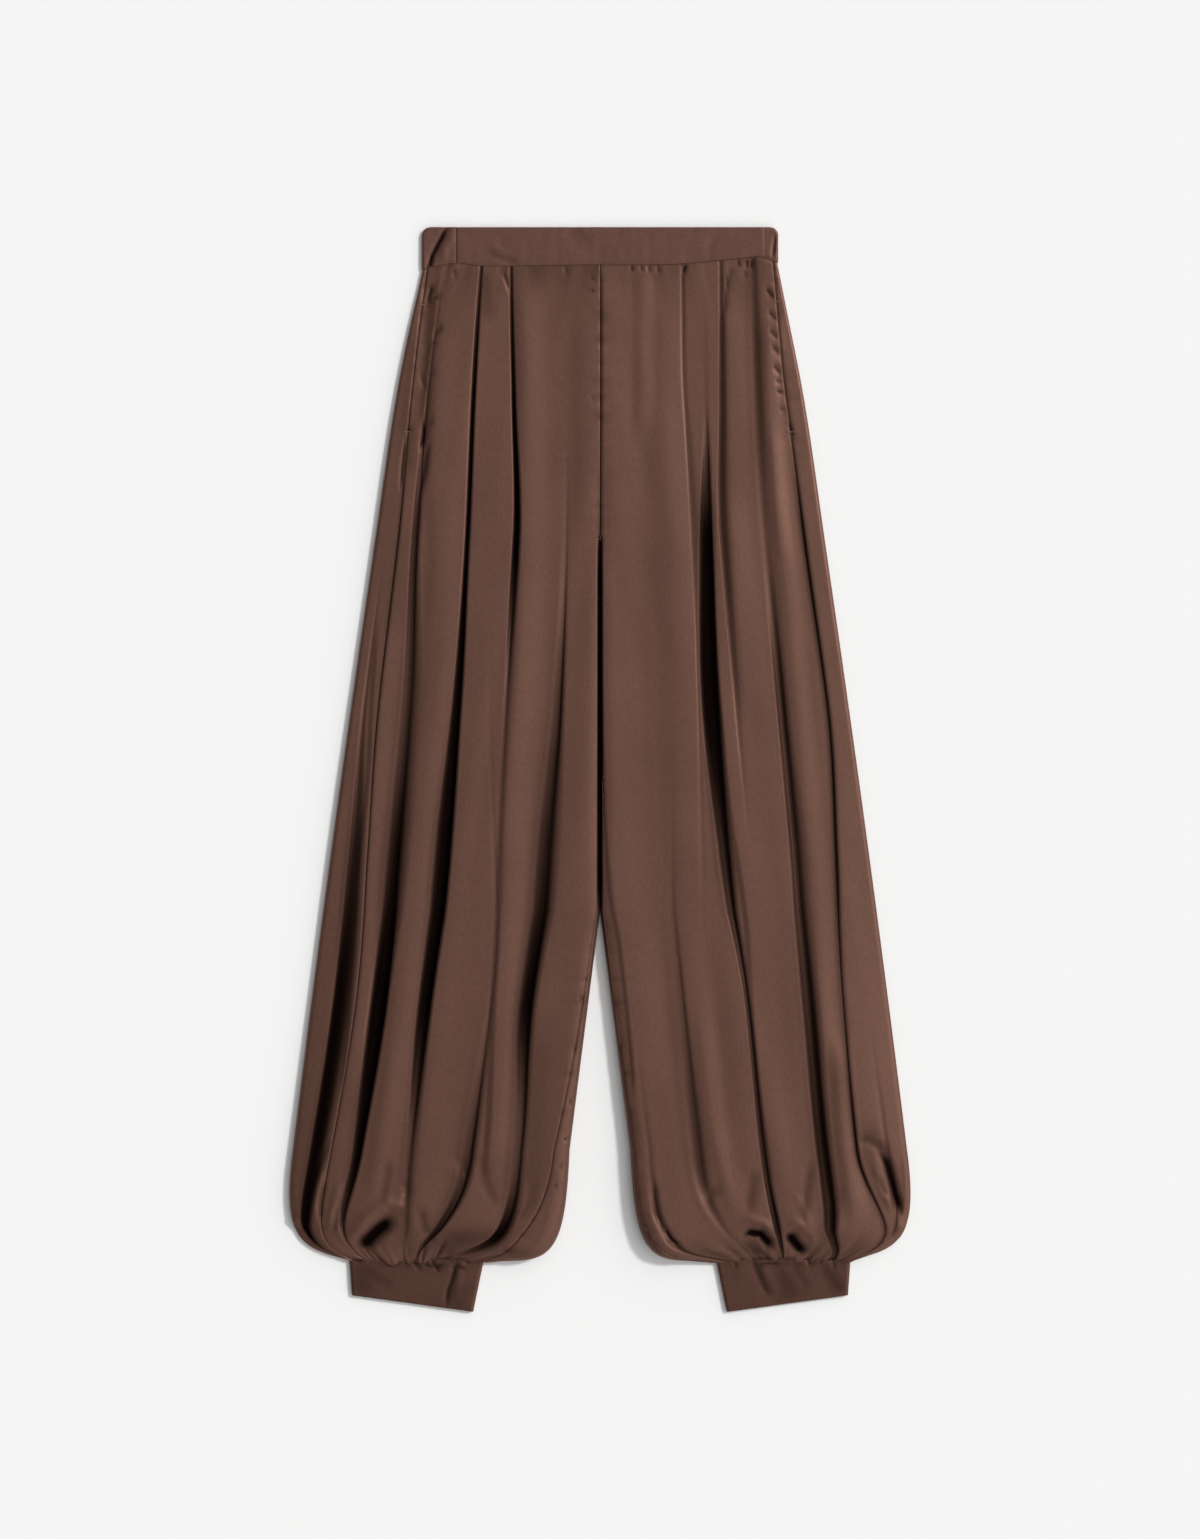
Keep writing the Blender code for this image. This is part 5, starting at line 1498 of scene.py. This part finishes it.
def satin(name, colour):
    material = bpy.data.materials.new(name)
    material.use_nodes = True
    tree = material.node_tree
    shader = tree.nodes["Principled BSDF"]
    weave = add_node(tree, "ShaderNodeUVMap", uv_map="weave").outputs["UV"]
    dye = add_node(tree, "ShaderNodeTexNoise", {"Vector": weave, "Scale": 1.0 / DYE_PATCH, "Detail": 2.0})
    slub_place = add_node(
        tree, "ShaderNodeMapping", {"Vector": weave, "Scale": (1.0 / SLUB, SLUB_STRETCH / SLUB, 1.0)},
    ).outputs["Vector"]
    slub = add_node(tree, "ShaderNodeTexNoise", {"Vector": slub_place, "Scale": 1.0, "Detail": 3.0})
    dye_shift = add_node(
        tree, "ShaderNodeMapRange",
        {"Value": dye.outputs["Fac"], "From Min": 0.3, "From Max": 0.7, "To Min": 0.96, "To Max": 1.04},
    ).outputs["Result"]
    slub_shift = add_node(
        tree, "ShaderNodeMapRange",
        {"Value": slub.outputs["Fac"], "From Min": 0.25, "From Max": 0.75, "To Min": 0.9, "To Max": 1.1},
    ).outputs["Result"]
    lightness = add_node(
        tree, "ShaderNodeMath", {0: dye_shift, 1: slub_shift}, operation="MULTIPLY",
    ).outputs[0]
    tinted = add_node(
        tree, "ShaderNodeVectorMath", {0: from_hex(colour)[:3], "Scale": lightness}, operation="SCALE",
    ).outputs["Vector"]
    # Painted shade: the attribute mixes the colour towards the shade colour and takes the shine out there.
    dark = add_node(tree, "ShaderNodeAttribute", attribute_name="dark").outputs["Fac"]
    painted_shade_mix = add_node(tree, "ShaderNodeMix", {"Factor": dark}, data_type="RGBA")
    tree.links.new(tinted, painted_shade_mix.inputs["A"])
    painted_shade_mix.inputs["B"].default_value = from_hex(PAINTED_SHADE_COLOUR)
    tree.links.new(painted_shade_mix.outputs["Result"], shader.inputs["Base Color"])
    sheen_less_in_painted_shade = add_node(
        tree, "ShaderNodeMapRange", {"Value": dark, "To Min": SHEEN_LEVEL, "To Max": 0.0},
    ).outputs["Result"]
    tree.links.new(sheen_less_in_painted_shade, shader.inputs["Specular IOR Level"])
    threads = add_node(
        tree, "ShaderNodeTexWave",
        {"Vector": weave, "Scale": WAVE_REPEAT / THREAD_PITCH, "Distortion": 1.5, "Detail": 2.0},
        wave_type="BANDS", bands_direction="X",
    ).outputs["Fac"]
    thread_bump = add_node(
        tree, "ShaderNodeBump", {"Height": threads, "Strength": 0.2, "Distance": THREAD_RELIEF},
    ).outputs["Normal"]
    slub_bump = add_node(
        tree, "ShaderNodeBump",
        {"Height": slub.outputs["Fac"], "Strength": 0.25, "Distance": SLUB_RELIEF, "Normal": thread_bump},
    ).outputs["Normal"]
    tree.links.new(slub_bump, shader.inputs["Normal"])
    grain = add_node(tree, "ShaderNodeTangent", direction_type="UV_MAP", uv_map="weave")
    tree.links.new(grain.outputs["Tangent"], shader.inputs["Tangent"])
    shader.inputs["Metallic"].default_value = LIKE_METAL
    shader.inputs["Roughness"].default_value = SATIN_ROUGHNESS
    shader.inputs["Specular Tint"].default_value = from_hex(SHEEN_TINT)
    shader.inputs["Anisotropic"].default_value = SATIN_ANISOTROPY
    return material


satin_leg = satin("satin, warp down the leg", SATIN_COLOUR)
satin_band = satin("satin, pressed and doubled", BAND_COLOUR)
satin_cuff = satin("satin, doubled for the cuff", CUFF_COLOUR)
for piece in list(front_legs.values()) + list(back_legs.values()):
    piece.data.materials.append(satin_leg)
for piece in (band_front, band_back):
    piece.data.materials.append(satin_band)
for piece in cuffs.values():
    piece.data.materials.append(satin_cuff)
print("satin colour, linear:", [round(part, 3) for part in from_hex(SATIN_COLOUR)[:3]])

# %% [markdown]
# ## Stitches
# Thread comes to the face in two ways. The seams below the waistband and above each cuff are closed by a
# row of small stitches that sinks into the joint. Each end of a pocket mouth is held by a bar tack, a dense
# little bar of thread across the seam. Both are one stitch laid again and again along a line, which is work
# for Geometry Nodes: the tree spaces points along the line, lays a stitch on each, turns it to the line and
# makes it mesh.

# %% A tree that sews along a line
STITCH_SIDES = 8
STITCH_RINGS = 4
YAW = 0.07
YAW_SEED = 7


def sewing_tree():
    """The node tree that sets stitches at equal steps along a line."""
    tree = bpy.data.node_groups.new("row of stitches", "GeometryNodeTree")
    tree.interface.new_socket("Line", in_out="INPUT", socket_type="NodeSocketGeometry")
    for name in ("Spacing", "Stitch length", "Thread thickness", "Slant"):
        tree.interface.new_socket(name, in_out="INPUT", socket_type="NodeSocketFloat")
    tree.interface.new_socket("Thread", in_out="INPUT", socket_type="NodeSocketMaterial")
    tree.interface.new_socket("Stitches", in_out="OUTPUT", socket_type="NodeSocketGeometry")
    given = add_node(tree, "NodeGroupInput").outputs
    line = add_node(tree, "GeometryNodeMeshToCurve", {"Mesh": given["Line"]}).outputs["Curve"]
    spaced = add_node(
        tree, "GeometryNodeResampleCurve", {"Curve": line, "Length": given["Spacing"]}, mode="LENGTH",
    )
    yaw = add_node(
        tree, "FunctionNodeRandomValue", {"Min": -YAW, "Max": YAW, "Seed": YAW_SEED}, data_type="FLOAT",
    )
    turn = add_node(
        tree, "ShaderNodeMath", {0: given["Slant"], 1: yaw.outputs["Value"]}, operation="ADD",
    ).outputs[0]
    along = add_node(tree, "GeometryNodeInputTangent").outputs["Tangent"]
    heading = add_node(
        tree, "ShaderNodeVectorRotate", {"Vector": along, "Axis": (0.0, 0.0, 1.0), "Angle": turn},
        rotation_type="AXIS_ANGLE",
    ).outputs["Vector"]
    laid = add_node(
        tree, "FunctionNodeAlignRotationToVector", {"Vector": heading}, axis="Z",
    ).outputs["Rotation"]
    stitch = add_node(
        tree, "GeometryNodeMeshUVSphere", {"Segments": STITCH_SIDES, "Rings": STITCH_RINGS, "Radius": 0.5},
    ).outputs["Mesh"]
    thick = given["Thread thickness"]
    size = add_node(tree, "ShaderNodeCombineXYZ", {"X": thick, "Y": thick, "Z": given["Stitch length"]})
    sewn = add_node(
        tree, "GeometryNodeInstanceOnPoints",
        {
            "Points": spaced.outputs["Curve"], "Instance": stitch, "Rotation": laid,
            "Scale": size.outputs["Vector"],
        },
    ).outputs["Instances"]
    real = add_node(tree, "GeometryNodeRealizeInstances", {"Geometry": sewn}).outputs["Geometry"]
    dyed = add_node(tree, "GeometryNodeSetMaterial", {"Geometry": real, "Material": given["Thread"]})
    add_node(tree, "NodeGroupOutput", {"Stitches": dyed.outputs["Geometry"]})
    return tree


row_of_stitches = sewing_tree()
print("the sewing tree has", len(row_of_stitches.nodes), "nodes")

# %% [markdown]
# The thread is polyester, dyed to match: dull beside the satin, because its filaments are twisted. The
# lines to sew along are worked out on the cloth itself, with the function that made the surface, so that
# every stitch lies on it.

# %% Thread, rows of stitches and bar tacks
Sewing = namedtuple("Sewing", "spacing length thickness slant")
SEAM_SEWING = Sewing(2.6, 2.1, 0.34, 0.06)
TACK_SEWING = Sewing(0.42, 1.9, 0.4, math.radians(78.0))
TACK_HALF = 3.4
TACK_POINTS = 9
TACK_LIFT = 0.12
SEAM_LIFT = 0.1
SEAM_POINTS = 90
WAIST_LINE_FROM = 6.0
WAIST_LINE_STOPS = 2.0
BELOW_WAIST_SEAM = 1.2
ABOVE_CUFF_SEAM = 1.0
THREAD_COLOUR = "#725244"
thread = bpy.data.materials.new("polyester thread")
thread.use_nodes = True
thread_shader = thread.node_tree.nodes["Principled BSDF"]
thread_shader.inputs["Base Color"].default_value = from_hex(THREAD_COLOUR)
thread_shader.inputs["Roughness"].default_value = 0.62
thread_shader.inputs["Specular IOR Level"].default_value = 0.35


def line_on_cloth(side, across, run, lift):
    """Points on the upper surface of a leg, a little above it."""
    across, run = np.broadcast_arrays(np.asarray(across, float), np.asarray(run, float))
    moved, height, _ = leg_surface(side, across[:, None], run[:, None])
    return world_points(side, moved, run[:, None], height + lift)[:, 0, :] * MM


def sew(name, lines, sewing):
    """Sews along lines of points with the tree, and leaves a plain mesh."""
    points = np.concatenate(lines)
    ends = set(np.cumsum([len(line) for line in lines]).tolist())
    edges = [(k, k + 1) for k in range(len(points) - 1) if k + 1 not in ends]
    mesh = bpy.data.meshes.new(name + "_line")
    mesh.from_pydata(points.tolist(), edges, [])
    piece = bpy.data.objects.new(name, mesh)
    trousers.objects.link(piece)
    maker = piece.modifiers.new("sewing", "NODES")
    maker.node_group = row_of_stitches
    sockets = {
        item.name: item.identifier
        for item in row_of_stitches.interface.items_tree if item.in_out == "INPUT"
    }
    maker[sockets["Spacing"]] = sewing.spacing * MM
    maker[sockets["Stitch length"]] = sewing.length * MM
    maker[sockets["Thread thickness"]] = sewing.thickness * MM
    maker[sockets["Slant"]] = sewing.slant
    maker[sockets["Thread"]] = thread
    ready = piece.evaluated_get(bpy.context.evaluated_depsgraph_get())
    sewn = bpy.data.meshes.new_from_object(ready)
    piece.modifiers.remove(maker)
    piece.data = sewn
    sewn.name = name
    bpy.data.meshes.remove(mesh)
    return piece


sewn_pieces = {}
for side in ("right", "left"):
    waist_line_ends = float(leg_width(BAND_DEPTH)) - WAIST_LINE_STOPS
    along_waist = np.linspace(WAIST_LINE_FROM, waist_line_ends, SEAM_POINTS)
    waist_line = line_on_cloth(side, along_waist, BAND_DEPTH + BELOW_WAIST_SEAM, SEAM_LIFT)
    along_cuff = np.linspace(0.1, 0.9, SEAM_POINTS) * float(leg_width(CUFF_RUN))
    cuff_line = line_on_cloth(side, along_cuff, CUFF_RUN - ABOVE_CUFF_SEAM, SEAM_LIFT)
    seams = sew("seam_stitches_" + side, [waist_line, cuff_line], SEAM_SEWING)
    tacks = []
    for run in (MOUTH_FROM, MOUTH_TO):
        at_seam = float(seam_across(side, run))
        across_seam = np.linspace(at_seam - TACK_HALF, at_seam + TACK_HALF, TACK_POINTS)
        tacks.append(line_on_cloth(side, across_seam, run, TACK_LIFT))
    sewn_pieces[side] = [seams, sew("bar_tacks_" + side, tacks, TACK_SEWING)]
    print(side, "leg:", [len(piece.data.polygons) for piece in sewn_pieces[side]], "faces of thread")

# %% [markdown]
# ## What each piece stands for
# Every cloth takes the place of its solid and rides on the one body that the part has. The table also
# lists, for each, the name of a slot and the size of the part of its cut that shows, folds included. No
# pattern was at hand, and the hidden underlay of the pleats isn't made. So the areas of the four leg panels
# are those of the cloth made above, measured once and rounded.

# %% Bodies, and the table of cuts
Cut = namedtuple("Cut", "piece node slot width length area sewn_on")
CUTS = (
    Cut(front_legs["right"], "front_leg_right", "satin", 0.30, 1.00, 0.225, sewn_pieces["right"]),
    Cut(front_legs["left"], "front_leg_left", "satin", 0.30, 1.00, 0.225, sewn_pieces["left"]),
    Cut(back_legs["right"], "back_leg_right", "satin", 0.36, 1.00, 0.28, []),
    Cut(back_legs["left"], "back_leg_left", "satin", 0.36, 1.00, 0.28, []),
    Cut(band_front, "waistband_front", "satin_band", 0.302, 0.037, None, []),
    Cut(band_back, "waistband_back", "satin_band", 0.405, 0.037, None, []),
    Cut(cuffs["right"], "cuff_right", "satin_cuff", 0.248, 0.05, None, []),
    Cut(cuffs["left"], "cuff_left", "satin_cuff", 0.248, 0.05, None, []),
)
for cut in CUTS:
    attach(cut.piece, "root")
    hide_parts(cut.node)
    for stitching in cut.sewn_on:
        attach(stitching, "root")
